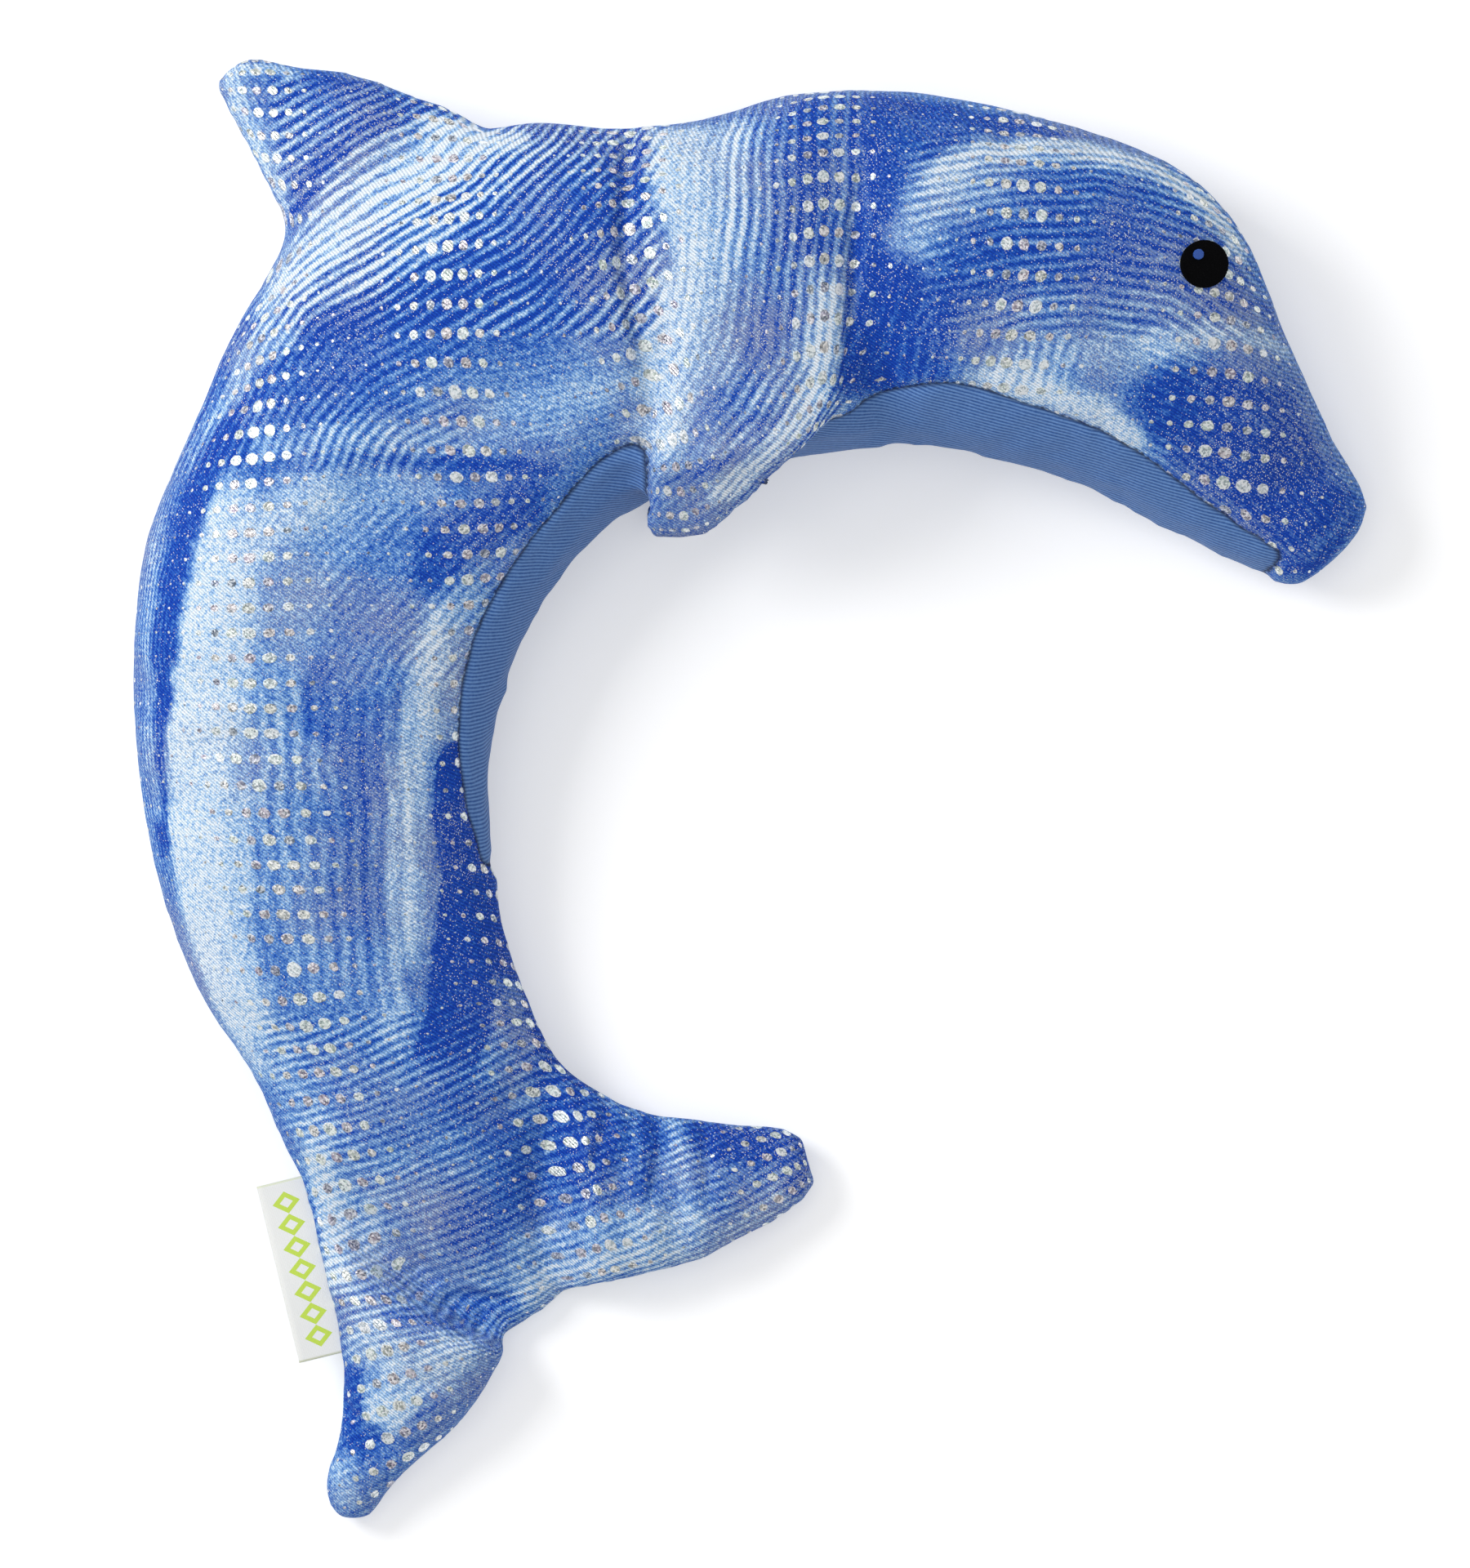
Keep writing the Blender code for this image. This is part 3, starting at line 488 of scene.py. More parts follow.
def slow_noise(points, size, seed):
    """Smooth random lumps of about one size."""
    shift = Vector((seed, 1.7 * seed, -seed))
    return np.array([noise.noise(Vector(p) / size + shift) for p in points])


mesh = skin.data
places, outward = points_of(mesh), normals_of(mesh)
px, py = pixels_of(places)
seam, flank = kept(mesh, "seam"), kept(mesh, "flank")
push = SEAM_DEPTH * np.exp(-(seam / SEAM_WIDTH) ** 2)
on_velour = between(-seam, 0.0, PILE_BEGINS)
push += BACK_SEAM_DEPTH * on_velour * np.exp(-(flank / BACK_SEAM_WIDTH) ** 2)
facing_up = between(flank, *FACING_UP)
for depth, width, line in FOLDS:
    away, along = from_line(px, py, line)
    fade = between(along, 0.0, 0.25) * (1.0 - between(along, 0.7, 1.0))
    fade = fade * (1.0 - FOLD_END_SHARE) + FOLD_END_SHARE
    width_px = 0.001 * width / METRES_PER_PIXEL
    push += 0.001 * depth * facing_up * fade * np.exp(-(away / (FOLD_SPREAD * width_px)) ** 2)
near_seam = np.exp(-np.abs(seam) / PUCKER_REACH)
push += PUCKER_DEPTH * near_seam * slow_noise(places, PUCKER_SIZE, 3.0)
push += LUMP_DEPTH * slow_noise(places, LUMP_SIZE, 11.0)
places -= outward * (push * between(places[:, 2], *OFF_THE_TABLE))[:, None]
places[:, 2] = np.maximum(places[:, 2], 0.0)
set_points(mesh, places)

# %% [markdown]
# The rows of dots were followed across the photograph. One upright line through the middle of
# the flank gives each row's place, and a small table says how far the rows drift up or down
# from there, because the cloth is drawn in at the flipper and stretched over the head. Every
# twelfth dot is the largest one, and those form columns that lean a little. A point of the skin
# keeps its column, its row and the row's slope there.

# %% Dot rows and columns
ROW_NUMBERS = (-5, 0, 3, 4, 11, 26, 35, 36, 47, 52)
ROW_HEIGHTS = (45, 191, 273, 311, 559, 1034, 1292, 1325, 1715, 1890)
DRIFT_LEVELS = (200, 300, 480, 620, 900, 1200)
DRIFT_ACROSS = (
    200, 318, 430, 550, 700, 777, 841, 908, 1006, 1100, 1250, 1330, 1403, 1500, 1600, 1680)
DRIFT = (
    (10, 8, 4, 0, -4, -16, -38, -56, -66, -66, -66, -60, -52, -27, 20, 60),
    (95, 45, 10, 0, -8, -24, -47, -68, -86, -87, -78, -68, -59, -34, 5, 40),
    (20, 12, 1, 0, 8, -8, -42, -68, -95, -78, -68, -68, -68, -62, -48, -25),
    (6, 3, -5, 0, 0, -4, -2, -30, -85, -70, -66, -66, -64, -62, -55, -40),
    (-14, -9, -6, 0, 0, 0, 0, 0, 0, 0, 0, 0, 0, 0, 0, 0),
    (-4, 0, 0, 0, 0, 0, 0, 0, 0, 0, 0, 0, 0, 0, 0, 0),
)
# The rise of a tail row per pixel along, by height in the photograph
TILT_FROM = (1150, 1220, 1260, 1330, 1450, 1600, 1850)
TILT = (0.0, 0.10, 0.14, 0.17, 0.23, 0.21, 0.35)
TAIL_MIDDLE = 520
FLUKE_FROM, FLUKE_TILT, FLUKE_HEIGHTS = 800, 0.24, (1200, 1350)
# Columns of largest dots: each as (height, place across)
COLUMNS = (
    ((0, 60), (900, 60), (1361, 120), (1850, 210)),
    ((0, 312), (900, 316), (1021, 337), (1144, 357), (1298, 385), (1361, 395), (1850, 520)),
    ((440, 553), (522, 572), (590, 588), (685, 603), (1000, 640), (1361, 687), (1850, 800)),
    ((0, 768), (260, 771), (352, 779), (424, 795), (600, 830), (1361, 950), (1850, 1080)),
    ((0, 1006), (500, 1010), (1900, 1250)),
    ((0, 1262), (200, 1250), (340, 1250), (456, 1229), (600, 1210), (1900, 1400)),
    ((0, 1510), (427, 1506), (627, 1495), (1900, 1700)),
    ((0, 1755), (1900, 1900)),
)
DOTS_IN_WAVE = 12.0
SLOPE_STEP = 6.0
LEVEL_ROUNDS = 4


def row_drift(across, height):
    """How far a row stands from its place on the middle line."""
    drifts = [np.interp(across, DRIFT_ACROSS, level) for level in DRIFT]
    share = np.interp(height, DRIFT_LEVELS, np.arange(len(DRIFT)))
    lower = np.minimum(share.astype(int), len(DRIFT) - 2)
    stack = np.stack(drifts)
    at = np.arange(len(across))
    return stack[lower, at] + (share - lower) * (stack[lower + 1, at] - stack[lower, at])


def row_level(px, py):
    """The height at which a row through each place crosses the middle line."""
    level = py.copy()
    for _ in range(LEVEL_ROUNDS):
        level = py - row_drift(px, level)
    level += np.interp(py, TILT_FROM, TILT) * (px - TAIL_MIDDLE)
    return level + FLUKE_TILT * np.maximum(px - FLUKE_FROM, 0.0) * between(py, *FLUKE_HEIGHTS)


px, py = pixels_of(kept(mesh, "flat"))
level = row_level(px, py)
slope = (row_level(px + SLOPE_STEP, py) - level) / SLOPE_STEP
row = np.interp(level, ROW_HEIGHTS, ROW_NUMBERS)
lines = np.stack([np.interp(py, *zip(*line)) for line in COLUMNS])
left = np.clip((px[None, :] > lines).sum(axis=0) - 1, 0, len(COLUMNS) - 2)
at = np.arange(len(px))
column = left + (px - lines[left, at]) / (lines[left + 1, at] - lines[left, at])
keep(mesh, "dots", np.stack([column * DOTS_IN_WAVE, row, slope], axis=1))

# %% [markdown]
# ## The dye
# The velour is marbled in blues, from deep blue to almost white. The larger shapes are brush
# strokes, laid over one another in order as a dyer would: each has a tone from 0, deep blue, to
# 1, almost white, a width and a few points. A few strokes are painted shade, wholly or in part, in
# creases and on edges that turn away from the light, and one is a painted highlight on a ridge;
# each of these is marked. Thin streaks follow the marbling, so each region also has a direction
# for them. Both are stored on the skin's points, and the material adds the fine grain.

# %% Brush strokes
# Each stroke: tone, half width in pixels, how hard its edge is from 0 to 1, points
STROKES = (
    # Back fin
    (0.40, 60, 0.1, ((300, 90), (340, 150), (400, 150), (350, 240))),
    (0.74, 26, 0.2, ((268, 80), (280, 140), (312, 215), (330, 262))),
    (0.80, 18, 0.2, ((278, 66), (330, 74), (372, 86))),
    (0.15, 26, 0.3, ((390, 92), (470, 112), (560, 134))),
    (0.30, 28, 0.2, ((345, 110), (400, 130), (440, 150))),
    (0.06, 24, 0.4, ((550, 138), (470, 158), (400, 215), (345, 275))),
    # White band behind the fin, and the arcs in front of it
    (0.20, 130, 0.2, ((300, 470), (450, 400), (600, 330), (700, 240))),
    (0.62, 26, 0.3, ((520, 160), (450, 200), (385, 262), (335, 305))),
    (0.90, 42, 0.3, ((590, 150), (530, 212), (455, 265), (375, 318), (325, 350))),
    (1.00, 26, 0.3, ((540, 145), (580, 155), (625, 158))),
    (0.97, 22, 0.3, ((570, 165), (520, 205), (460, 245))),
    (0.52, 20, 0.2, ((670, 170), (620, 225), (550, 265), (470, 310))),
    (0.30, 20, 0.2, ((740, 165), (690, 230), (610, 290))),
    (0.66, 20, 0.2, ((330, 372), (280, 440), (240, 520))),
    (0.64, 26, 0.2, ((545, 280), (500, 315), (440, 355), (370, 400), (300, 450), (240, 560))),
    (0.10, 30, 0.3, ((768, 180), (752, 260), (700, 320), (600, 360), (500, 385), (400, 410))),
    (0.14, 22, 0.2, ((420, 440), (320, 470), (255, 540), (215, 640))),
    (0.26, 22, 0.2, ((640, 410), (560, 420), (440, 440), (340, 470))),
    (0.46, 30, 0.2, ((480, 508), (560, 490), (650, 480), (720, 460))),
    (0.64, 28, 0.2, ((610, 520), (690, 500), (765, 475))),
    (0.30, 20, 0.2, ((300, 520), (420, 500), (500, 500))),
    (0.56, 18, 0.2, ((330, 548), (450, 540), (600, 540), (690, 530))),
    (0.08, 11, 0.5, ((400, 582), (480, 576), (560, 574), (676, 582))),
    (0.20, 16, 0.2, ((560, 600), (620, 602), (660, 600))),
    # Flank below the fin
    (0.56, 80, 0.1, ((420, 640), (380, 760), (370, 900))),
    (0.56, 34, 0.2, ((520, 610), (400, 612), (300, 640), (250, 700))),
    (0.80, 36, 0.2, ((400, 620), (330, 645), (290, 720), (270, 860))),
    (0.86, 52, 0.3, (
        (285, 640), (276, 720), (268, 820), (256, 950), (256, 1090), (275, 1200), (310, 1290))),
    (0.90, 20, 0.2, ((240, 700), (232, 800), (230, 940), (236, 1080))),
    (0.42, 26, 0.2, ((600, 620), (500, 650), (430, 760), (420, 860))),
    (0.10, 26, 0.2, ((660, 620), (600, 640), (540, 670))),
    (0.26, 20, 0.2, ((400, 820), (390, 880), (410, 900))),
    (0.12, 28, 0.2, ((650, 640), (590, 665), (536, 705))),
    (0.56, 26, 0.2, ((585, 740), (582, 830), (578, 920))),
    (0.86, 30, 0.0, ((545, 770), (534, 835), (528, 890))),
    (0.52, 34, 0.1, ((345, 920), (350, 1040), (380, 1180))),
    (0.26, 32, 0.1, ((450, 880), (450, 1000), (456, 1120))),
    (0.46, 24, 0.2, ((430, 1180), (470, 1230), (440, 1280))),
    (0.60, 20, 0.2, ((490, 1170), (484, 1260))),
    (0.90, 20, 0.3, ((214, 1000), (222, 1080), (240, 1170), (268, 1250))),
    (0.76, 20, 0.2, ((304, 980), (300, 1100))),
    (0.78, 26, 0.0, ((520, 900), (508, 960), (506, 1060), (508, 1160))),
    (0.00, 40, 0.95, ((588, 950), (586, 1010), (588, 1120), (574, 1220), (552, 1290))),
    # Widened over the flank's edge that turns away from the light: partly a dark patch of dye, partly
    # painted shade
    (0.00, 42, 0.5, ((625, 1080), (650, 1180), (700, 1300))),
    (0.06, 24, 0.4, ((268, 535), (240, 600), (220, 670), (208, 740), (200, 800))),
    (0.08, 15, 0.5, ((208, 760), (194, 860), (184, 960), (184, 1040))),
    (0.55, 13, 0.2, ((176, 640), (166, 760), (168, 880), (178, 1000))),
    # Root of the tail
    (0.34, 22, 0.2, ((648, 1210), (654, 1270), (640, 1320))),
    (0.40, 60, 0.2, ((380, 1290), (470, 1340), (560, 1360))),
    (0.60, 34, 0.2, ((330, 1290), (372, 1380), (410, 1470), (420, 1560))),
    (0.88, 26, 0.2, ((380, 1430), (400, 1480), (406, 1560))),
    (0.72, 20, 0.2, ((452, 1480), (460, 1545))),
    (0.50, 40, 0.2, ((470, 1440), (510, 1500), (520, 1570))),
    (0.22, 42, 0.2, ((570, 1340), (640, 1400), (640, 1470), (580, 1500))),
    # These two dark strokes lie along creases at the root of the tail: partly dye, partly painted
    # shade in the folds
    (0.10, 34, 0.3, ((690, 1320), (745, 1380), (735, 1440))),
    (0.08, 24, 0.2, ((690, 1350), (700, 1430))),
    (0.34, 16, 0.2, ((700, 1480), (755, 1450), (785, 1400))),
    # Painted shade in the crease beside the near fluke
    (0.10, 13, 0.3, ((802, 1362), (800, 1420), (778, 1480))),
    (0.50, 26, 0.2, ((640, 1560), (560, 1570), (480, 1600))),
    (0.76, 34, 0.2, ((655, 1575), (740, 1545), (850, 1530))),
    (0.60, 20, 0.2, ((640, 1520), (720, 1500), (800, 1480))),
    # Near fluke
    (0.42, 60, 0.2, ((850, 1440), (900, 1470))),
    # Painted highlight along the ridge beside that crease
    (0.58, 10, 0.4, ((822, 1350), (832, 1420), (842, 1490), (850, 1540))),
    (0.04, 30, 0.6, ((872, 1380), (890, 1390), (940, 1398), (992, 1408))),
    (0.36, 22, 0.3, ((890, 1470), (930, 1450), (960, 1440))),
    (0.56, 18, 0.3, ((870, 1530), (920, 1500), (960, 1475))),
    (0.74, 18, 0.2, ((785, 1496), (850, 1490))),
    (0.14, 22, 0.2, ((975, 1410), (985, 1445))),
    # Far lobe
    (0.76, 46, 0.2, ((450, 1640), (510, 1700), (560, 1650))),
    # Painted shade in the crease at the root of the far lobe
    (0.30, 15, 0.2, ((480, 1612), (540, 1602), (620, 1592))),
    (0.80, 26, 0.2, ((450, 1720), (490, 1740))),
    # Painted shade in the crease of the far lobe
    (0.14, 24, 0.6, ((410, 1690), (420, 1740), (446, 1766))),
    (0.36, 20, 0.2, ((470, 1790), (500, 1760), (540, 1730))),
    (0.66, 22, 0.2, ((408, 1800), (422, 1840))),
    (0.80, 18, 0.2, ((452, 1735), (490, 1725))),
    # Between the fin and the flipper, and the flipper
    (0.30, 60, 0.1, ((940, 140), (960, 300), (930, 420))),
    (0.92, 26, 0.3, ((812, 140), (816, 220), (826, 380), (812, 480))),
    (0.84, 34, 0.2, ((840, 150), (850, 280), (838, 400), (812, 520), (806, 590))),
    (0.74, 26, 0.2, ((890, 140), (895, 260), (882, 370), (850, 470))),
    (0.50, 16, 0.2, ((925, 130), (932, 280), (910, 400), (870, 500))),
    (0.14, 30, 0.3, ((990, 120), (995, 230), (990, 300))),
    (0.34, 22, 0.2, ((960, 340), (930, 440), (880, 520))),
    (0.50, 20, 0.2, ((1000, 340), (980, 430), (930, 510), (860, 560))),
    (0.28, 28, 0.2, ((810, 600), (880, 570), (930, 530))),
    (0.58, 12, 0.2, ((800, 590), (870, 560), (920, 540))),
    (0.40, 24, 0.2, ((800, 645), (850, 650), (890, 630))),
    (0.86, 24, 0.3, ((1014, 370), (1008, 440), (985, 520), (940, 580), (890, 620))),
    (0.64, 18, 0.2, ((888, 400), (884, 460))),
    (0.50, 15, 0.2, ((806, 275), (812, 335))),
    # Chest and head
    (0.06, 36, 0.4, ((1062, 120), (1078, 240), (1080, 340))),
    (0.08, 24, 0.3, ((1050, 108), (1180, 126), (1300, 156))),
    (0.16, 30, 0.2, ((1110, 170), (1180, 170), (1240, 170))),
    (0.00, 44, 0.5, ((1092, 350), (1090, 400), (1080, 460))),
    (0.10, 30, 0.2, ((1130, 460), (1150, 400), (1170, 350))),
    (0.44, 50, 0.2, ((1190, 260), (1260, 250))),
    (0.64, 30, 0.2, ((1112, 300), (1135, 255), (1170, 235), (1230, 214), (1320, 208))),
    (0.86, 22, 0.3, (
        (1150, 225), (1190, 192), (1250, 174), (1330, 168), (1420, 190), (1490, 240), (1530, 300))),
    (0.24, 32, 0.2, ((1250, 235), (1340, 228), (1440, 268), (1510, 340))),
    (0.18, 30, 0.2, ((1200, 310), (1290, 280), (1400, 305), (1450, 340))),
    (0.20, 40, 0.2, ((1200, 350), (1300, 330), (1420, 360))),
    (0.12, 18, 0.3, ((1400, 400), (1480, 388), (1570, 380))),
    (0.46, 26, 0.2, ((1500, 400), (1560, 400))),
    (0.46, 22, 0.2, ((1390, 378), (1450, 385))),
    (0.48, 20, 0.2, ((1395, 458), (1440, 450))),
    (0.40, 30, 0.2, ((1200, 420), (1260, 400), (1350, 395))),
    (0.62, 28, 0.2, ((1240, 450), (1330, 440), (1430, 430))),
    (0.70, 15, 0.2, ((1390, 430), (1470, 418), (1540, 414), (1600, 424))),
    (0.86, 30, 0.2, ((1210, 478), (1270, 488), (1330, 514), (1375, 548))),
    (0.02, 54, 0.5, ((1435, 505), (1510, 570), (1600, 650))),
    # Partly dye, partly painted shade on the snout's tip, which turns away from the light
    (0.00, 46, 0.4, ((1560, 560), (1640, 630), (1600, 690))),
    (0.10, 30, 0.3, ((1480, 480), (1580, 500), (1620, 570))),
    (0.34, 10, 0.2, ((1600, 460), (1628, 530), (1645, 580))),
    # These two are partly dye, partly painted shade along the snout's lower edge, which turns away
    # from the light
    (0.26, 13, 0.2, ((1668, 620), (1640, 660), (1606, 690))),
    (0.22, 14, 0.2, ((1440, 590), (1500, 640), (1580, 690))),
)
BASE_TONE = 0.40
STROKE_SPREAD, STROKE_SPREAD_HARD = 1.55, 1.10


def dye_and_shade_tone(px, py):
    """The tone of the dye, and of the painted shade that some strokes lay, at points of the cloth."""
    tone = np.full(px.shape, BASE_TONE)
    for value, width, hard, line in STROKES:
        away, along = from_line(px, py, line)
        spread = STROKE_SPREAD + (STROKE_SPREAD_HARD - STROKE_SPREAD) * hard
        cover = 1.0 - between(away, width * hard, width * spread)
        tone += (value - tone) * cover
    return tone


# %% Streaks
# Each region: its box in the photograph, how strong its streaks are, their spacing in pixels, and
# a line. The streaks run beside the line, at equal distances from it
FIN_BAND = ((650, 40), (612, 130), (545, 205), (450, 264), (330, 332), (250, 430), (170, 620))
FLIPPER_EDGE = ((1062, 60), (1052, 275), (1044, 380), (1030, 470), (980, 560), (900, 650), (820, 720))
STREAKS = (
    ((350, 110, 790, 400), 0.66, 14.5, FIN_BAND),
    ((170, 330, 560, 560), 0.36, 14.5, FIN_BAND),
    ((270, 60, 520, 300), 0.16, 12.0, ((255, 60), (300, 200), (340, 290))),
    ((560, 400, 790, 540), 0.12, 11.0, ((500, 590), (600, 570), (700, 550), (800, 530))),
    ((790, 90, 880, 640), 0.14, 15.0, FLIPPER_EDGE),
    ((900, 90, 1040, 640), 0.36, 15.0, FLIPPER_EDGE),
    ((1130, 190, 1600, 400), 0.34, 14.0, (
        (1040, 460), (1110, 350), (1229, 318), (1338, 307), (1446, 328), (1555, 394),
        (1640, 490), (1700, 600))),
    ((1090, 340, 1300, 470), 0.20, 17.0, ((1070, 330), (1050, 400), (1030, 480))),
    ((1420, 450, 1660, 690), 0.20, 13.0, ((1400, 400), (1500, 440), (1600, 510), (1680, 600))),
    ((140, 600, 192, 1080), 0.30, 7.5, ((230, 560), (206, 800), (216, 960), (245, 1100))),
    ((340, 850, 500, 1230), 0.20, 22.0, ((560, 820), (564, 1000), (576, 1280))),
    ((420, 640, 660, 840), 0.20, 15.0, ((300, 900), (400, 740), (500, 640), (600, 560))),
    ((330, 1250, 1010, 1660), 0.30, 12.0, (
        (320, 1480), (480, 1420), (640, 1350), (800, 1280), (1000, 1180))),
    ((400, 1660, 620, 1870), 0.16, 14.0, ((380, 1660), (500, 1600), (600, 1560))),
)
STREAK_EDGE = 40.0


def streaked(px, py):
    """For points of the cloth: how far across the streaks they are, and the streaks' strength."""
    across, strength = np.zeros(px.shape), np.zeros(px.shape)
    for (left, top, right, bottom), gain, spacing, line in STREAKS:
        away = from_line(px, py, line)[0]
        here = gain * np.ones(px.shape)
        for value, low, high in ((px, left, right), (py, top, bottom)):
            here *= between(value, low - STREAK_EDGE, low)
            here *= 1.0 - between(value, high, high + STREAK_EDGE)
        stronger = here > strength
        across[stronger] = (away / spacing)[stronger]
        strength[stronger] = here[stronger]
    return across, strength


# %% [markdown]
# Dye creeps through cloth, so no edge of a stroke stays clean. Before the strokes are read, each
# place is shifted a few pixels by smooth noise, once in slow waves and once in fine ones. The
# far flank isn't in the photograph. It gets the same dye, moved a little.

# %% Dye on both flanks
# Each creep: how far in pixels, and how large its waves are in metres
CREEP = ((9.0, 0.0085), (5.0, 0.0030))
FAR_SHIFT = (70.0, -45.0)
FLANKS_MEET = 0.05

far = between(-kept(mesh, "flank"), -FLANKS_MEET, FLANKS_MEET)
dye_x, dye_y = px + far * FAR_SHIFT[0], py + far * FAR_SHIFT[1]
across, strength = streaked(dye_x, dye_y)
spots = kept(mesh, "flat")
for seed, (shift, size) in enumerate(CREEP):
    dye_x = dye_x + shift * slow_noise(spots, size, 5.0 + seed)
    dye_y = dye_y + shift * slow_noise(spots, size, 25.0 + seed)
tone = dye_and_shade_tone(dye_x, dye_y)
# The stored tone is dye, with painted shade where a few strokes lay it
keep(mesh, "dye", np.stack([tone, across, strength], axis=1))
print("tone from", round(float(tone.min()), 2), "to", round(float(tone.max()), 2))

# %% [markdown]
# ## Cutting the twill from the velour
# The belly strip and the flippers' linings are other cloth, so they become a piece of their own.
# Edges that cross the seam are split exactly on it, faces are cut along it, and the twill's
# faces are copied out. The twill gets a thickness, and the velour under it is pressed in.

# %% Cut along the seam
TWILL_THICKNESS = 0.0010
UNDER_TWILL = 0.0024
ON_SEAM = 1e-7


def cut_on_seam(shape, level):
    """Splits a mesh exactly where its seam distance is zero."""
    crossed = [e for e in shape.edges if e.verts[0][level] * e.verts[1][level] < 0.0]
    for edge in crossed:
        a, b = edge.verts
        share = a[level] / (a[level] - b[level])
        _, point = bmesh.utils.edge_split(edge, a, share)
        point[level] = 0.0
    for face in [f for f in shape.faces if len(f.verts) > 4]:
        ends = [v for v in face.verts if abs(v[level]) < ON_SEAM]
        if len(ends) == 2:
            bmesh.utils.face_split(face, ends[0], ends[1])


shape = bmesh.new()
shape.from_mesh(mesh)
level = shape.verts.layers.float["seam"]
cut_on_seam(shape, level)
for face in shape.faces:
    face.select = sum(v[level] for v in face.verts) > 0.0
panel_shape = shape.copy()
bmesh.ops.delete(panel_shape, geom=[f for f in panel_shape.faces if not f.select], context="FACES")
panel_mesh = bpy.data.meshes.new("twill_panels")
panel_shape.to_mesh(panel_mesh)
panel_shape.free()
covered = [v for v in shape.verts if v.link_faces and all(f.select for f in v.link_faces)]
shape.normal_update()
for point, inward in [(v, v.normal.copy()) for v in covered]:
    point.co -= inward * UNDER_TWILL
shape.to_mesh(mesh)
shape.free()
twill = bpy.data.objects.new("twill_panels", panel_mesh)
scene.collection.objects.link(twill)
use_modifier(twill, "SOLIDIFY", thickness=TWILL_THICKNESS, offset=-1.0)
for piece in (skin, twill):
    piece.data.shade_smooth()

# %% [markdown]
# ## Foil dots
# Small round dots of broken silver foil are printed in rows. A cell of the pattern holds one
# dot, and the dot's size swells and shrinks along the row. The group below only measures: it
# gives a mask and a tint, and the velour decides what to do with them. The tint holds the foil's
# dark cracks and, painted in, the glints and dark reflections of its flakes. A row may run aslant,
# so its slope is taken back out of each dot, which stays round.

# %% Small helpers for shaders
def new_group(name, inputs, outputs):
    """A shader group, the sockets that its values come from and those that they go to."""
    group = bpy.data.node_groups.new(name, "ShaderNodeTree")
    for labels, side in ((inputs, "INPUT"), (outputs, "OUTPUT")):
        for label, kind in labels:
            group.interface.new_socket(label, in_out=side, socket_type="NodeSocket" + kind)
    return group, group.nodes.new("NodeGroupInput").outputs, group.nodes.new("NodeGroupOutput").inputs


def use_group(tree, group, inputs):
    """A group placed in a material, and the sockets that it puts out."""
    return add_node(tree, "ShaderNodeGroup", inputs, node_tree=group).outputs


def stored(tree, name, output="Vector"):
    """What was stored on the points of a piece."""
    return add_node(tree, "ShaderNodeAttribute", attribute_name=name).outputs[output]


def own_place(tree):
    """The place on the piece itself, in metres."""
    return add_node(tree, "ShaderNodeTexCoord").outputs["Object"]


def noise_at(tree, place, per_metre, detail=2.0, roughness=0.5):
    """Smooth noise from 0 to 1."""
    return add_node(tree, "ShaderNodeTexNoise", {
        "Vector": place, "Scale": per_metre, "Detail": detail, "Roughness": roughness}).outputs["Fac"]


def centred(tree, value, reach):
    """A number from 0 to 1, spread between -reach and reach."""
    return maths(tree, "MULTIPLY_ADD", value, 2.0 * reach, -reach)


def from_cell_middle(tree, value, pitch):
    """How far a place is from the middle of its cell, where value counts cells of one pitch."""
    off = maths(tree, "SUBTRACT", value, maths(tree, "ROUND", value))
    return maths(tree, "MULTIPLY", off, pitch)


def wave_of(tree, turns):
    """A wave from -1 to 1."""
    return maths(tree, "SINE", maths(tree, "MULTIPLY", turns, 2.0 * math.pi))


def ramp(tree, value, stops):
    """A colour ramp with the given stops."""
    node = add_node(tree, "ShaderNodeValToRGB", {"Fac": value})
    bar = node.color_ramp
    while len(bar.elements) < len(stops):
        bar.elements.new(0.5)
    for element, (place, colour) in zip(bar.elements, stops):
        element.position = place
        element.color = colour
    return node.outputs["Color"]


def blend(tree, factor, a, b, mode="MIX"):
    """One colour laid over another."""
    node = add_node(tree, "ShaderNodeMix", {0: factor, 6: a, 7: b}, data_type="RGBA", blend_type=mode)
    return node.outputs[2]


def bumped(tree, face, height, strength, distance):
    """Lets a fine height show in how a material catches the light."""
    bump = add_node(tree, "ShaderNodeBump", {
        "Height": height, "Strength": strength, "Distance": distance})
    tree.links.new(bump.outputs["Normal"], face.inputs["Normal"])


# %% A group for the foil dots
DOT_PITCH_MM = 4.6
ROW_PITCH_MM = 7.4
SMALL_DOT_MM = 0.30
LARGE_DOT_MM = 1.55
SWELL_POWER = 1.6
DOT_CHANCE = 0.3
DOT_RAGGED_MM = 0.35
DOT_EDGE_PER_MM = 5.0
WOBBLE_PER_METRE = 700.0
CRACKLE_PER_METRE = 1900.0
# Flake shades: the foil's dark cracks, and painted glints and dark reflections of single flakes
SILVER_AND_GLINTS = (
    (0.00, (0.10, 0.13, 0.18, 1.0)),
    (0.25, (0.32, 0.36, 0.40, 1.0)),
    (0.55, (0.60, 0.64, 0.68, 1.0)),
    (0.80, (0.95, 0.96, 0.98, 1.0)),
)
FOIL_HUE = (1.0, 0.72, 0.45, 1.0)
FOIL_HUE_SHARE = 0.28

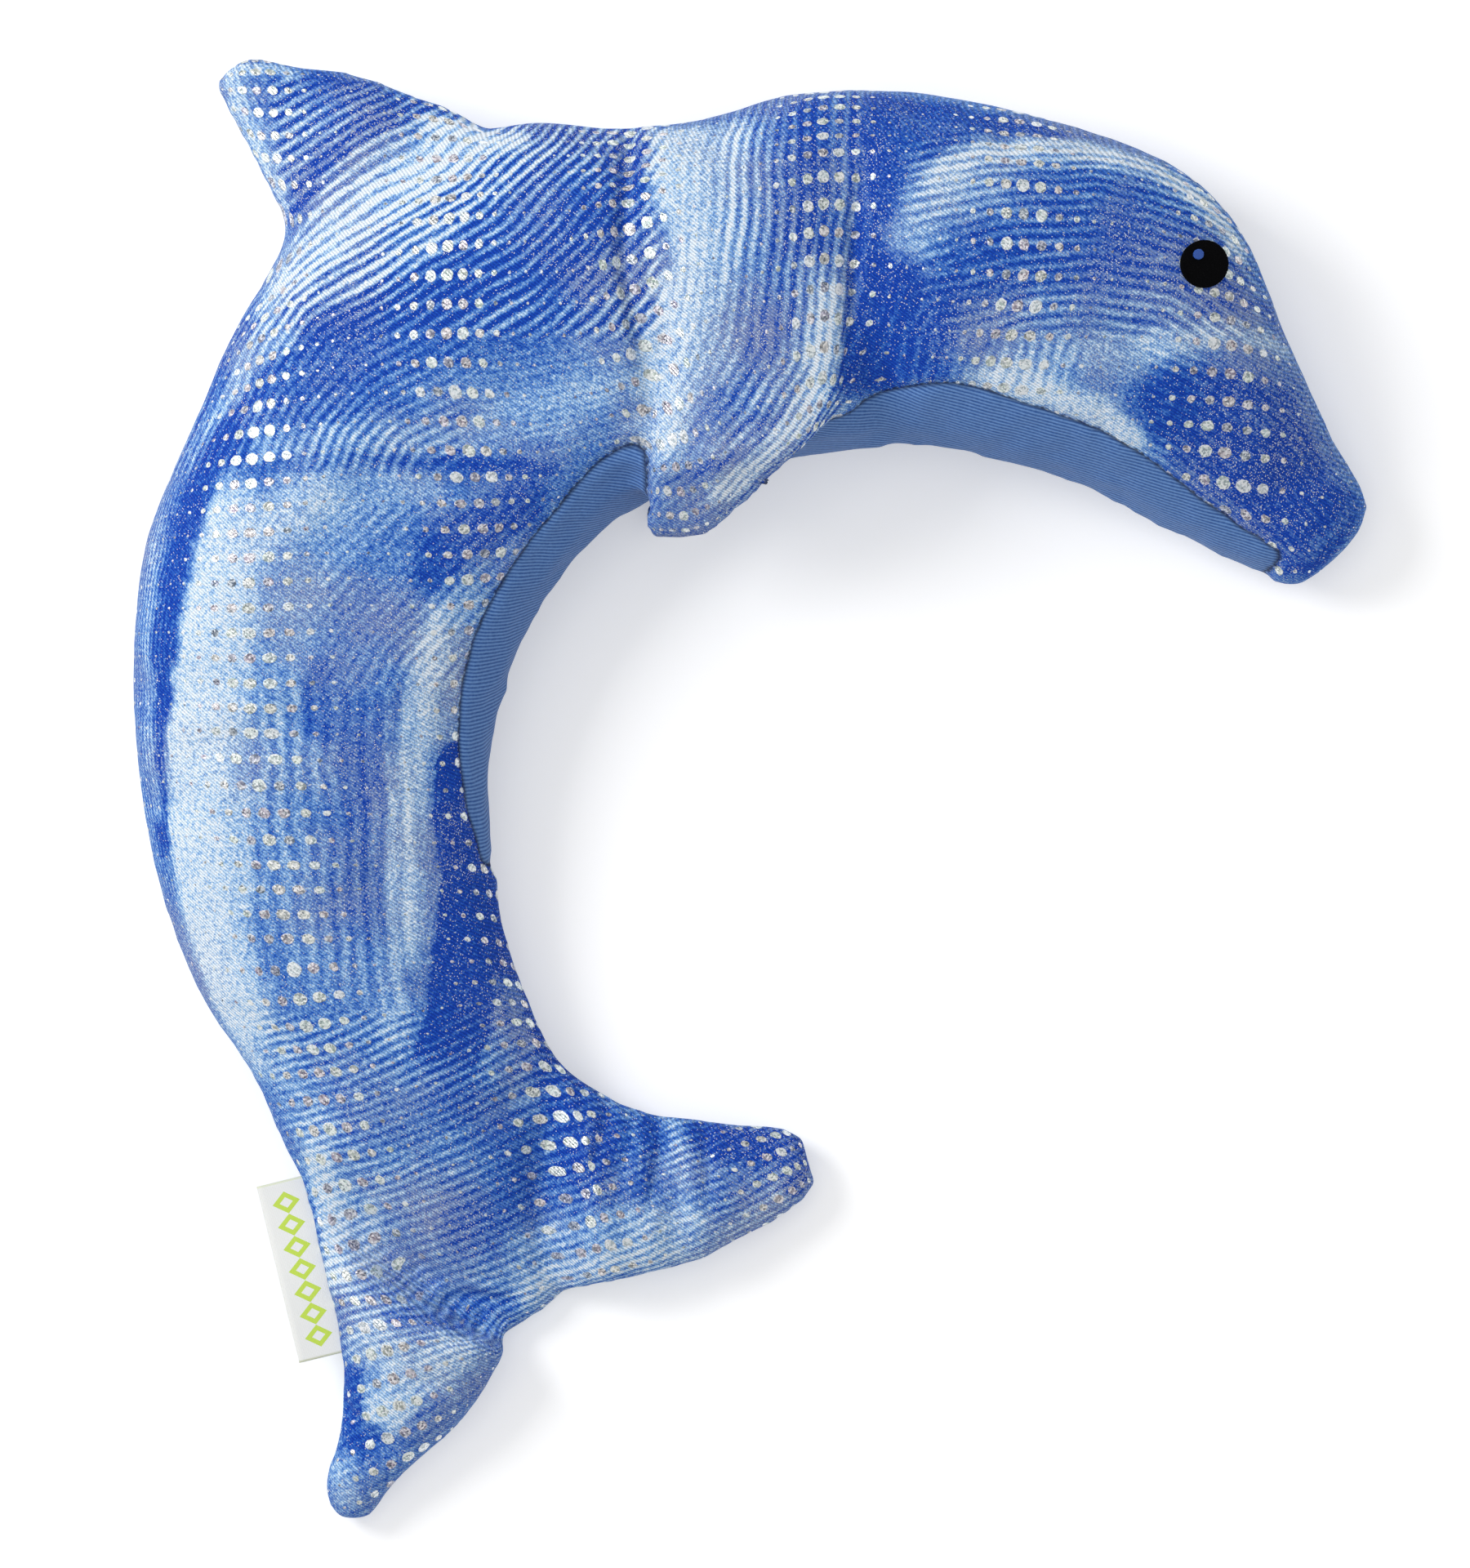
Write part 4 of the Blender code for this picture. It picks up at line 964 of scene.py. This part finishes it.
foil_group, given, result = new_group(
    "foil dots", (("Dots", "Vector"), ("Place", "Vector")), (("Mask", "Float"), ("Tint", "Color")))
t = foil_group
column, row, slope = add_node(t, "ShaderNodeSeparateXYZ", {"Vector": given["Dots"]}).outputs
across_mm = from_cell_middle(t, column, DOT_PITCH_MM)
down_mm = from_cell_middle(t, row, ROW_PITCH_MM)
down_mm = maths(t, "SUBTRACT", down_mm, maths(t, "MULTIPLY", across_mm, slope))
whole_column = maths(t, "ROUND", column)
cell = add_node(t, "ShaderNodeCombineXYZ", {"X": whole_column, "Y": maths(t, "ROUND", row)})
chance = add_node(
    t, "ShaderNodeTexWhiteNoise", {"Vector": cell.outputs[0]}, noise_dimensions="2D").outputs["Value"]
from_middle = maths(t, "SQRT", maths(
    t, "ADD", maths(t, "MULTIPLY", across_mm, across_mm), maths(t, "MULTIPLY", down_mm, down_mm)))
wobble = noise_at(t, given["Place"], WOBBLE_PER_METRE)
from_middle = maths(t, "ADD", from_middle, centred(t, wobble, DOT_RAGGED_MM))
turn = maths(t, "MULTIPLY", whole_column, 2.0 * math.pi / DOTS_IN_WAVE)
swell = maths(t, "POWER", maths(t, "MULTIPLY_ADD", maths(t, "COSINE", turn), 0.5, 0.5), SWELL_POWER)
radius = maths(t, "MULTIPLY_ADD", swell, LARGE_DOT_MM - SMALL_DOT_MM, SMALL_DOT_MM)
luck = maths(t, "MULTIPLY_ADD", chance, DOT_CHANCE, 1.0 - 0.5 * DOT_CHANCE)
radius = maths(t, "MULTIPLY", radius, luck)
inside = maths(t, "MULTIPLY", maths(t, "SUBTRACT", radius, from_middle), DOT_EDGE_PER_MM)
mask = maths(t, "ADD", inside, 0.5, clamp=True)
crackle = add_node(t, "ShaderNodeTexVoronoi", {"Vector": given["Place"], "Scale": CRACKLE_PER_METRE})
flake = add_node(t, "ShaderNodeSeparateColor", {"Color": crackle.outputs["Color"]}).outputs
hue = add_node(t, "ShaderNodeHueSaturation", {
    "Hue": chance, "Saturation": 0.55, "Value": 1.0, "Color": FOIL_HUE})
# Painted glints and dark reflections, flake by flake, with the foil's cracks
silver_and_glints = ramp(t, maths(t, "ADD", flake[0], centred(t, chance, 0.25)), SILVER_AND_GLINTS)
tint = blend(t, maths(t, "MULTIPLY", flake[1], FOIL_HUE_SHARE), silver_and_glints, hue.outputs["Color"])
t.links.new(mask, result["Mask"])
t.links.new(tint, result["Tint"])

# %% [markdown]
# ## Marbled dye, as a group
# The tone stored on the skin is smooth, and cloth isn't. The group adds the streaks, soft clouds
# and the grain of the pile to the tone and turns it into one of the blues. Middle tones are
# greyed to lavender in patches, and glitter is left in the pile.

# %% A group for the dye
BLUES = (
    (0.00, (0.006, 0.050, 0.420, 1.0)),
    (0.18, (0.018, 0.110, 0.530, 1.0)),
    (0.40, (0.085, 0.225, 0.620, 1.0)),
    (0.60, (0.220, 0.420, 0.780, 1.0)),
    (0.80, (0.480, 0.690, 0.930, 1.0)),
    (1.00, (0.850, 0.920, 1.000, 1.0)),
)
# Each noise: how many lumps in a metre, how detailed and how rough it is
CLOUD = (42.0, 4.0, 0.6)
DRIFTING = (38.0, 1.5)
FIBRE = (900.0, 2.0, 0.7)
GRAIN = (2100.0, 2.0, 0.8)
PATCHES = (26.0, 3.0)
CLOUD_REACH, FIBRE_REACH, GRAIN_REACH = 0.13, 0.65, 0.5
STREAK_WANDER = 1.5
STREAK_CONTRAST = 0.62
HEATHER = (0.225, 0.255, 0.470, 1.0)
HEATHER_FROM, HEATHER_RISE, HEATHER_SHARE = 0.42, 3.6, 0.85
GLITTER = (0.62, 0.66, 0.74, 1.0)
GLITTER_SHARE = 0.80
GLITTER_SIZE = 0.00028

dye_group, given, result = new_group(
    "marbled dye", (("Dye", "Vector"), ("Place", "Vector")), (("Color", "Color"),))
t, place = dye_group, given["Place"]
stroke_tone, across, strength = add_node(t, "ShaderNodeSeparateXYZ", {"Vector": given["Dye"]}).outputs
cloud = noise_at(t, place, *CLOUD)
wave = wave_of(t, maths(t, "MULTIPLY_ADD", noise_at(t, place, *DRIFTING), STREAK_WANDER, across))
uneven = maths(t, "MULTIPLY_ADD", cloud, 3.0, -0.6)
streak = maths(t, "MULTIPLY", maths(t, "MULTIPLY", wave, strength), uneven)
tone = maths(t, "ADD", stroke_tone, maths(t, "MULTIPLY", streak, STREAK_CONTRAST))
tone = maths(t, "ADD", tone, centred(t, cloud, CLOUD_REACH))
tone = maths(t, "ADD", tone, centred(t, noise_at(t, place, *FIBRE), FIBRE_REACH), clamp=True)
tone = maths(t, "ADD", tone, centred(t, noise_at(t, place, *GRAIN), GRAIN_REACH), clamp=True)
colour = ramp(t, tone, BLUES)
greyed = maths(t, "SUBTRACT", noise_at(t, place, *PATCHES), HEATHER_FROM)
greyed = maths(t, "MULTIPLY", greyed, HEATHER_RISE, clamp=True)
off_middle = maths(t, "ABSOLUTE", maths(t, "MULTIPLY_ADD", tone, 2.4, -1.15))
middle_tone = maths(t, "MULTIPLY", maths(t, "SUBTRACT", 1.0, off_middle), HEATHER_SHARE, clamp=True)
colour = blend(t, maths(t, "MULTIPLY", greyed, middle_tone), colour, HEATHER)
grid = add_node(t, "ShaderNodeVectorMath", {0: place, 1: [GLITTER_SIZE] * 3}, operation="SNAP")
speck = add_node(t, "ShaderNodeTexWhiteNoise", {"Vector": grid.outputs[0]}, noise_dimensions="3D")
often = maths(t, "MULTIPLY_ADD", greyed, 0.10, 0.03)
sparkle = maths(t, "GREATER_THAN", often, speck.outputs["Value"])
colour = blend(t, maths(t, "MULTIPLY", sparkle, GLITTER_SHARE), colour, GLITTER)
t.links.new(colour, result["Color"])

# %% [markdown]
# ## Ribs in cloth
# Both cloths show slanting ribs: fine ones in the velour's ground, broad ones in the twill. One
# group makes both from a direction, a spacing and a little unevenness. The threads of the tape
# and of the glints come from it too.

# %% A group for ribs
RIPPLE_PER_METRE = 120.0

ribs_group, given, result = new_group(
    "cloth ribs",
    (("Place", "Vector"), ("Direction", "Vector"), ("Per Metre", "Float"), ("Uneven", "Float")),
    (("Height", "Float"),))
t = ribs_group
over_ribs = add_node(
    t, "ShaderNodeVectorMath", {0: given["Place"], 1: given["Direction"]}, operation="DOT_PRODUCT")
turns = maths(t, "MULTIPLY", over_ribs.outputs["Value"], given["Per Metre"])
ripple = noise_at(t, given["Place"], RIPPLE_PER_METRE)
turns = maths(t, "ADD", turns, maths(t, "MULTIPLY", ripple, given["Uneven"]))
t.links.new(maths(t, "MULTIPLY_ADD", wave_of(t, turns), 0.5, 0.5), result["Height"])


def ribbed(tree, place, direction, per_metre, uneven):
    """The height of ribs in a cloth."""
    return use_group(tree, ribs_group, {
        "Place": place, "Direction": direction, "Per Metre": per_metre, "Uneven": uneven})["Height"]


# %% [markdown]
# ## Velour
# Velour is a knit with a short pile that catches the light at its edges, which is what sheen does.
# The dye, with the painted shade of a few strokes, gives the colour, and the knit darkens it in fine
# ribs. Foil lies on top: where its mask is set, the surface is smoother and more like metal. Along
# the seam, a dark, toothed line is painted shade in the seam's crease.

# %% Velour
KNIT_ACROSS, KNIT_PER_METRE = (0.60, 0.78, 0.3), 1300.0
BRISTLE_PER_METRE = 1500.0
TOOTH_PER_METRE = 700.0
# Painted shade in the seam's crease: its colour, how far from the seam it reaches and how fast it
# rises
SEAM_SHADOW_COLOUR = (0.012, 0.018, 0.05, 1.0)
SEAM_SHADOW_MM = 0.7
SEAM_SHADOW_RISE = 1.5
MM = 1000.0


def painted_seam_shadow(tree, ragged_mm=0.0):
    """How much painted shade lies in the seam's crease, from 0 to 1."""
    away_mm = maths(tree, "ABSOLUTE", maths(tree, "MULTIPLY", stored(tree, "seam", "Fac"), MM))
    near_mm = maths(tree, "SUBTRACT", SEAM_SHADOW_MM, maths(tree, "ADD", away_mm, ragged_mm))
    return maths(tree, "MULTIPLY", near_mm, SEAM_SHADOW_RISE, clamp=True)


velour, tree, pile = new_material("marbled velour", {
    "Sheen Weight": 0.25, "Sheen Roughness": 0.35, "Sheen Tint": (0.50, 0.68, 1.0, 1.0),
    "Specular IOR Level": 0.10})
place = own_place(tree)
foil = use_group(tree, foil_group, {"Dots": stored(tree, "dots"), "Place": place})
dyed_and_shaded_cloth = use_group(tree, dye_group, {"Dye": stored(tree, "dye"), "Place": place})
knit = ribbed(tree, place, KNIT_ACROSS, KNIT_PER_METRE, 0.5)
bristle = noise_at(tree, place, BRISTLE_PER_METRE)
# Painted shade in the seam's crease, with an edge toothed like the pile
dark = painted_seam_shadow(tree, centred(tree, noise_at(tree, place, TOOTH_PER_METRE, 1.0), 1.0))
ground = maths(tree, "MULTIPLY_ADD", knit, 0.42, 0.74)
colour = blend(tree, 1.0, dyed_and_shaded_cloth["Color"], ground, mode="MULTIPLY")
colour = blend(tree, maths(tree, "MULTIPLY", dark, 0.85), colour, SEAM_SHADOW_COLOUR)
foil_mask = maths(tree, "MULTIPLY", foil["Mask"], maths(tree, "SUBTRACT", 1.0, dark))
tree.links.new(blend(tree, foil_mask, colour, foil["Tint"]), pile.inputs["Base Color"])
tree.links.new(maths(tree, "MULTIPLY", foil_mask, 0.55), pile.inputs["Metallic"])
tree.links.new(maths(tree, "MULTIPLY_ADD", foil_mask, -0.50, 0.85), pile.inputs["Roughness"])
height = maths(tree, "MULTIPLY_ADD", foil_mask, 0.6, maths(tree, "MULTIPLY_ADD", knit, 0.35, bristle))
bumped(tree, pile, height, strength=0.7, distance=0.00022)
skin.data.materials.append(velour)

# %% [markdown]
# ## Twill
# The belly strip and the linings are a smooth cloth with broader slanting ribs. As geometry the
# ribs would need far too many faces, so the group gives their shade and their fine relief.

# %% Twill
TWILL_ACROSS, TWILL_PER_METRE = (0.34, 0.94, 0.55), 880.0
THREAD_PER_METRE = 1300.0
TWILL_LIGHT = (0.210, 0.400, 0.780, 1.0)
TWILL_DARK = (0.018, 0.080, 0.300, 1.0)

twill_cloth, tree, weave = new_material("ribbed twill", {
    "Roughness": 0.62, "Sheen Weight": 0.1, "Specular IOR Level": 0.15})
place = own_place(tree)
ribs = ribbed(tree, place, TWILL_ACROSS, TWILL_PER_METRE, 0.35)
thread = noise_at(tree, place, THREAD_PER_METRE)
lightness = maths(tree, "MULTIPLY_ADD", thread, 0.5, -0.15)
lightness = maths(tree, "MULTIPLY_ADD", ribs, 0.62, lightness, clamp=True)
shade = ramp(tree, lightness, ((0.0, TWILL_DARK), (1.0, TWILL_LIGHT)))
# Painted shade in the seam's crease
shade = blend(tree, maths(tree, "MULTIPLY", painted_seam_shadow(tree), 0.7), shade, SEAM_SHADOW_COLOUR)
tree.links.new(shade, weave.inputs["Base Color"])
bumped(tree, weave, maths(tree, "MULTIPLY_ADD", thread, 0.3, ribs), strength=0.6, distance=0.00025)
twill.data.materials.append(twill_cloth)

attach(skin, "root")
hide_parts("stuffed_body")
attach(twill, "root")
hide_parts(*PANELS)

# %% [markdown]
# ## Eyes
# Each eye is a disc of black felt, sewn flat on the pile, with a small round of blue thread for
# its glint. A disc is made flat, with rings of faces, and let down onto the cloth from above or
# below, so it follows the head's curve. It then gets its thickness and a soft edge, and noise
# makes its outline a little ragged, as cut felt is.

# %% Discs laid on the skin
EYE_RADIUS = 0.0065
FELT_THICKNESS = 0.0010
EYE_RINGS = (0.0006, 0.0008, 0.0012, 0.0014)
GLINT_RADIUS = 0.0014
THREAD_THICKNESS = 0.0005
GLINT_RINGS = (0.0003, 0.0004)
DISC_SIDES = 72
SUNK = 0.0002
SOFT_EDGE = 0.25
RAGGED = 0.00032
RAGGED_FROM = 0.6
RAGGED_PER_METRE = 4200.0


def faces_of(piece):
    """A search tree of one piece's faces."""
    return BVHTree.FromPolygons(
        [v.co.copy() for v in piece.data.vertices], [list(p.vertices) for p in piece.data.polygons])


def laid_disc(name, node, under, radius, thickness, rings, up):
    """A round of cloth on another piece (up is 1) or beneath it (up is -1), and its cut area."""
    low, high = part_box(node)
    spot = (0.5 * (low[0] + high[0]), 0.5 * (low[1] + high[1]))
    bpy.ops.object.select_all(action="DESELECT")
    bpy.ops.mesh.primitive_circle_add(
        vertices=DISC_SIDES, radius=radius, fill_type="NGON", location=(*spot, 0.0))
    disc = bpy.context.object
    disc.name = name
    bpy.ops.object.transform_apply(location=True, rotation=True, scale=True)
    bpy.ops.object.mode_set(mode="EDIT")
    bpy.ops.mesh.select_all(action="SELECT")
    for ring in rings:
        bpy.ops.mesh.inset(thickness=ring)
    bpy.ops.mesh.poke()
    if up < 0:
        bpy.ops.mesh.select_all(action="SELECT")
        bpy.ops.mesh.flip_normals()
    bpy.ops.object.mode_set(mode="OBJECT")
    for point in disc.data.vertices:
        start = Vector((point.co.x, point.co.y, up * FAR_ABOVE))
        hit = under.ray_cast(start, Vector((0.0, 0.0, -up)))[0]
        point.co.z = hit.z - up * SUNK
    area = sum(face.area for face in disc.data.polygons)
    use_modifier(disc, "SOLIDIFY", thickness=thickness + SUNK, offset=1.0)
    use_modifier(disc, "BEVEL", width=SOFT_EDGE * thickness, segments=2)
    use_modifier(disc, "SUBSURF", levels=1, render_levels=1)
    for point in disc.data.vertices:
        level = Vector((point.co.x - spot[0], point.co.y - spot[1], 0.0))
        edge = max(0.0, level.length / radius - RAGGED_FROM)
        point.co += level.normalized() * (RAGGED * edge * noise.noise(point.co * RAGGED_PER_METRE))
    disc.data.shade_smooth()
    print(name, len(disc.data.polygons), "faces, cut from", round(1e6 * area), "mm2")
    return disc, area


skin_faces = faces_of(skin)
eyes = []
for side, up in (("right", 1.0), ("left", -1.0)):
    eye, area = laid_disc(
        f"{side}_felt_eye", f"{side}_eye", skin_faces, EYE_RADIUS, FELT_THICKNESS, EYE_RINGS, up)
    glint, _ = laid_disc(
        f"{side}_thread_glint", f"{side}_eye_glint", faces_of(eye), GLINT_RADIUS, THREAD_THICKNESS,
        GLINT_RINGS, up)
    eyes.append((side, eye, area, glint))

# %% [markdown]
# Felt is a mat of fibres with no weave: a nearly black ground with a few paler hairs. The glint
# is satin stitch, so it has fine parallel threads.

# %% Felt and thread
FELT_MAT = (2600.0, 3.0, 0.7)
FELT_HAIRS = (
    (0.00, (0.0008, 0.0008, 0.0010, 1.0)),
    (0.62, (0.0030, 0.0030, 0.0035, 1.0)),
    (1.00, (0.0300, 0.0300, 0.0350, 1.0)),
)
STRANDS_ACROSS, STRANDS_PER_METRE = (0.8, 0.6, 0.0), 3600.0
STRAND_DARK = (0.012, 0.045, 0.25, 1.0)
STRAND_LIGHT = (0.05, 0.16, 0.62, 1.0)

felt, tree, face = new_material("black felt", {"Roughness": 0.95, "Specular IOR Level": 0.04})
mat = noise_at(tree, own_place(tree), *FELT_MAT)
tree.links.new(ramp(tree, mat, FELT_HAIRS), face.inputs["Base Color"])
bumped(tree, face, mat, strength=0.6, distance=0.0002)

blue_thread, tree, face = new_material(
    "blue satin stitch", {"Roughness": 0.45, "Specular IOR Level": 0.3})
strands = ribbed(tree, own_place(tree), STRANDS_ACROSS, STRANDS_PER_METRE, 0.3)
tree.links.new(blend(tree, strands, STRAND_DARK, STRAND_LIGHT), face.inputs["Base Color"])
bumped(tree, face, strands, strength=0.6, distance=0.0001)

for side, eye, area, glint in eyes:
    for piece, finish, node, slot in (
            (eye, felt, f"{side}_eye", "eye_black"),
            (glint, blue_thread, f"{side}_eye_glint", "glint_blue")):
        piece.data.materials.clear()
        piece.data.materials.append(finish)
        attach(piece, "root")
        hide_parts(node)

# %% [markdown]
# ## The tape
# A short woven tape is folded double and caught in the back seam with both ends. It is a grid of
# faces whose length is led out along the lower layer, round the fold and back along the upper
# one, so both layers and the fold are one cloth, as on the real toy.

# %% Folded tape
TAPE_WIDTH = 0.050
TAPE_THICKNESS = 0.0003
TAPE_STEPS = (60, 36)
TAPE_WAVE, TAPE_WAVE_TURN = 0.0005, 5.0

label_points = points_of(nodes["side_label"].data)
centre = 0.5 * (label_points.min(axis=0) + label_points.max(axis=0))
run, out, over = np.linalg.svd(label_points - centre, full_matrices=False)[2]
out *= -np.sign(out[0])
over *= np.sign(over[2])
shares = (label_points - centre) @ np.stack([run, out, over]).T
least, most = shares.min(axis=0), shares.max(axis=0)
bend = 0.5 * (most[2] - least[2]) - 0.5 * TAPE_THICKNESS
straight = most[1] - least[1] - bend - 0.5 * TAPE_THICKNESS
tape_length = 2.0 * straight + math.pi * bend

bpy.ops.object.select_all(action="DESELECT")
bpy.ops.mesh.primitive_grid_add(x_subdivisions=TAPE_STEPS[0], y_subdivisions=TAPE_STEPS[1], size=1.0)
ribbon = bpy.context.object
ribbon.name = "woven_tape"
flat = points_of(ribbon.data)
across, along = flat[:, 0] * TAPE_WIDTH, (flat[:, 1] + 0.5) * tape_length
turned = np.clip((along - straight) / bend, 0.0, math.pi)
to_end = np.where(turned < 0.5 * math.pi, along, tape_length - along)
reach = np.minimum(to_end, straight) + bend * np.sin(turned)
height = -bend * np.cos(turned)
height += TAPE_WAVE * (reach / reach.max()) ** 2 * np.sin(across / TAPE_WIDTH * TAPE_WAVE_TURN)
middle = centre + 0.5 * (least[0] + most[0]) * run + 0.5 * (least[2] + most[2]) * over
spots = middle + np.outer(across, run) + np.outer(least[1] + reach, out) + np.outer(height, over)
set_points(ribbon.data, spots)
keep(ribbon.data, "tape", np.stack([across, along - 0.5 * tape_length, np.zeros(len(across))], axis=1))
use_modifier(ribbon, "SOLIDIFY", thickness=TAPE_THICKNESS, offset=0.0)
bpy.ops.object.mode_set(mode="EDIT")
bpy.ops.mesh.select_all(action="SELECT")
bpy.ops.mesh.normals_make_consistent(inside=False)
bpy.ops.object.mode_set(mode="OBJECT")
ribbon.data.shade_smooth()
print("tape cut to", round(1000.0 * TAPE_WIDTH), "by", round(1000.0 * tape_length, 1), "mm")

# %% [markdown]
# The tape is plain white, with a woven border of small lime lozenges. Their place is read along
# and across the flat tape, so the pattern follows the cloth round the fold.

# %% Tape finish
LOZENGE_PITCH = 0.0063
LOZENGES_REACH = 3.5 * LOZENGE_PITCH
LOZENGE_SIZE = 0.0023
LOZENGE_LINE = 0.0008
LOZENGE_SQUASH = 0.8
BORDER_PLACE = 0.5 * 0.0145
LIME = (0.60, 0.80, 0.10, 1.0)
WEFT_PER_METRE, WARP_PER_METRE = 2600.0, 3400.0
TAPE_SHADE = (0.88, 0.89, 0.87, 1.0)
TAPE_WHITE = (0.98, 0.99, 0.97, 1.0)
SELVEDGE = (0.72, 0.78, 0.45, 1.0)
SELVEDGE_FROM = 0.488 * TAPE_WIDTH

tape, tree, face = new_material("white woven tape", {"Roughness": 0.6, "Specular IOR Level": 0.3})
on_tape = stored(tree, "tape")
across, along, _ = add_node(tree, "ShaderNodeSeparateXYZ", {"Vector": on_tape}).outputs
from_centre = maths(tree, "ABSOLUTE", across)
beside = maths(tree, "ABSOLUTE", from_cell_middle(
    tree, maths(tree, "DIVIDE", across, LOZENGE_PITCH), LOZENGE_PITCH))
off_border = maths(tree, "ABSOLUTE", maths(
    tree, "SUBTRACT", maths(tree, "ABSOLUTE", along), BORDER_PLACE))
away = maths(tree, "ADD", beside, maths(tree, "MULTIPLY", off_border, LOZENGE_SQUASH))
ring = maths(tree, "ABSOLUTE", maths(tree, "SUBTRACT", away, LOZENGE_SIZE))
lozenge = maths(
    tree, "MULTIPLY", maths(tree, "LESS_THAN", ring, LOZENGE_LINE),
    maths(tree, "LESS_THAN", from_centre, LOZENGES_REACH))
weft = ribbed(tree, on_tape, (0.0, 1.0, 0.0), WEFT_PER_METRE, 0.1)
warp = ribbed(tree, on_tape, (1.0, 0.0, 0.0), WARP_PER_METRE, 0.1)
threads = maths(tree, "MULTIPLY", weft, warp)
white = blend(tree, threads, TAPE_SHADE, TAPE_WHITE)
selvedge = maths(tree, "GREATER_THAN", from_centre, SELVEDGE_FROM)
white = blend(tree, maths(tree, "MULTIPLY", selvedge, 0.5), white, SELVEDGE)
tree.links.new(blend(tree, lozenge, white, LIME), face.inputs["Base Color"])
bumped(tree, face, maths(tree, "MULTIPLY_ADD", lozenge, 0.8, threads), strength=0.5, distance=0.00012)
ribbon.data.materials.append(tape)
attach(ribbon, "root")
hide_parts("side_label")
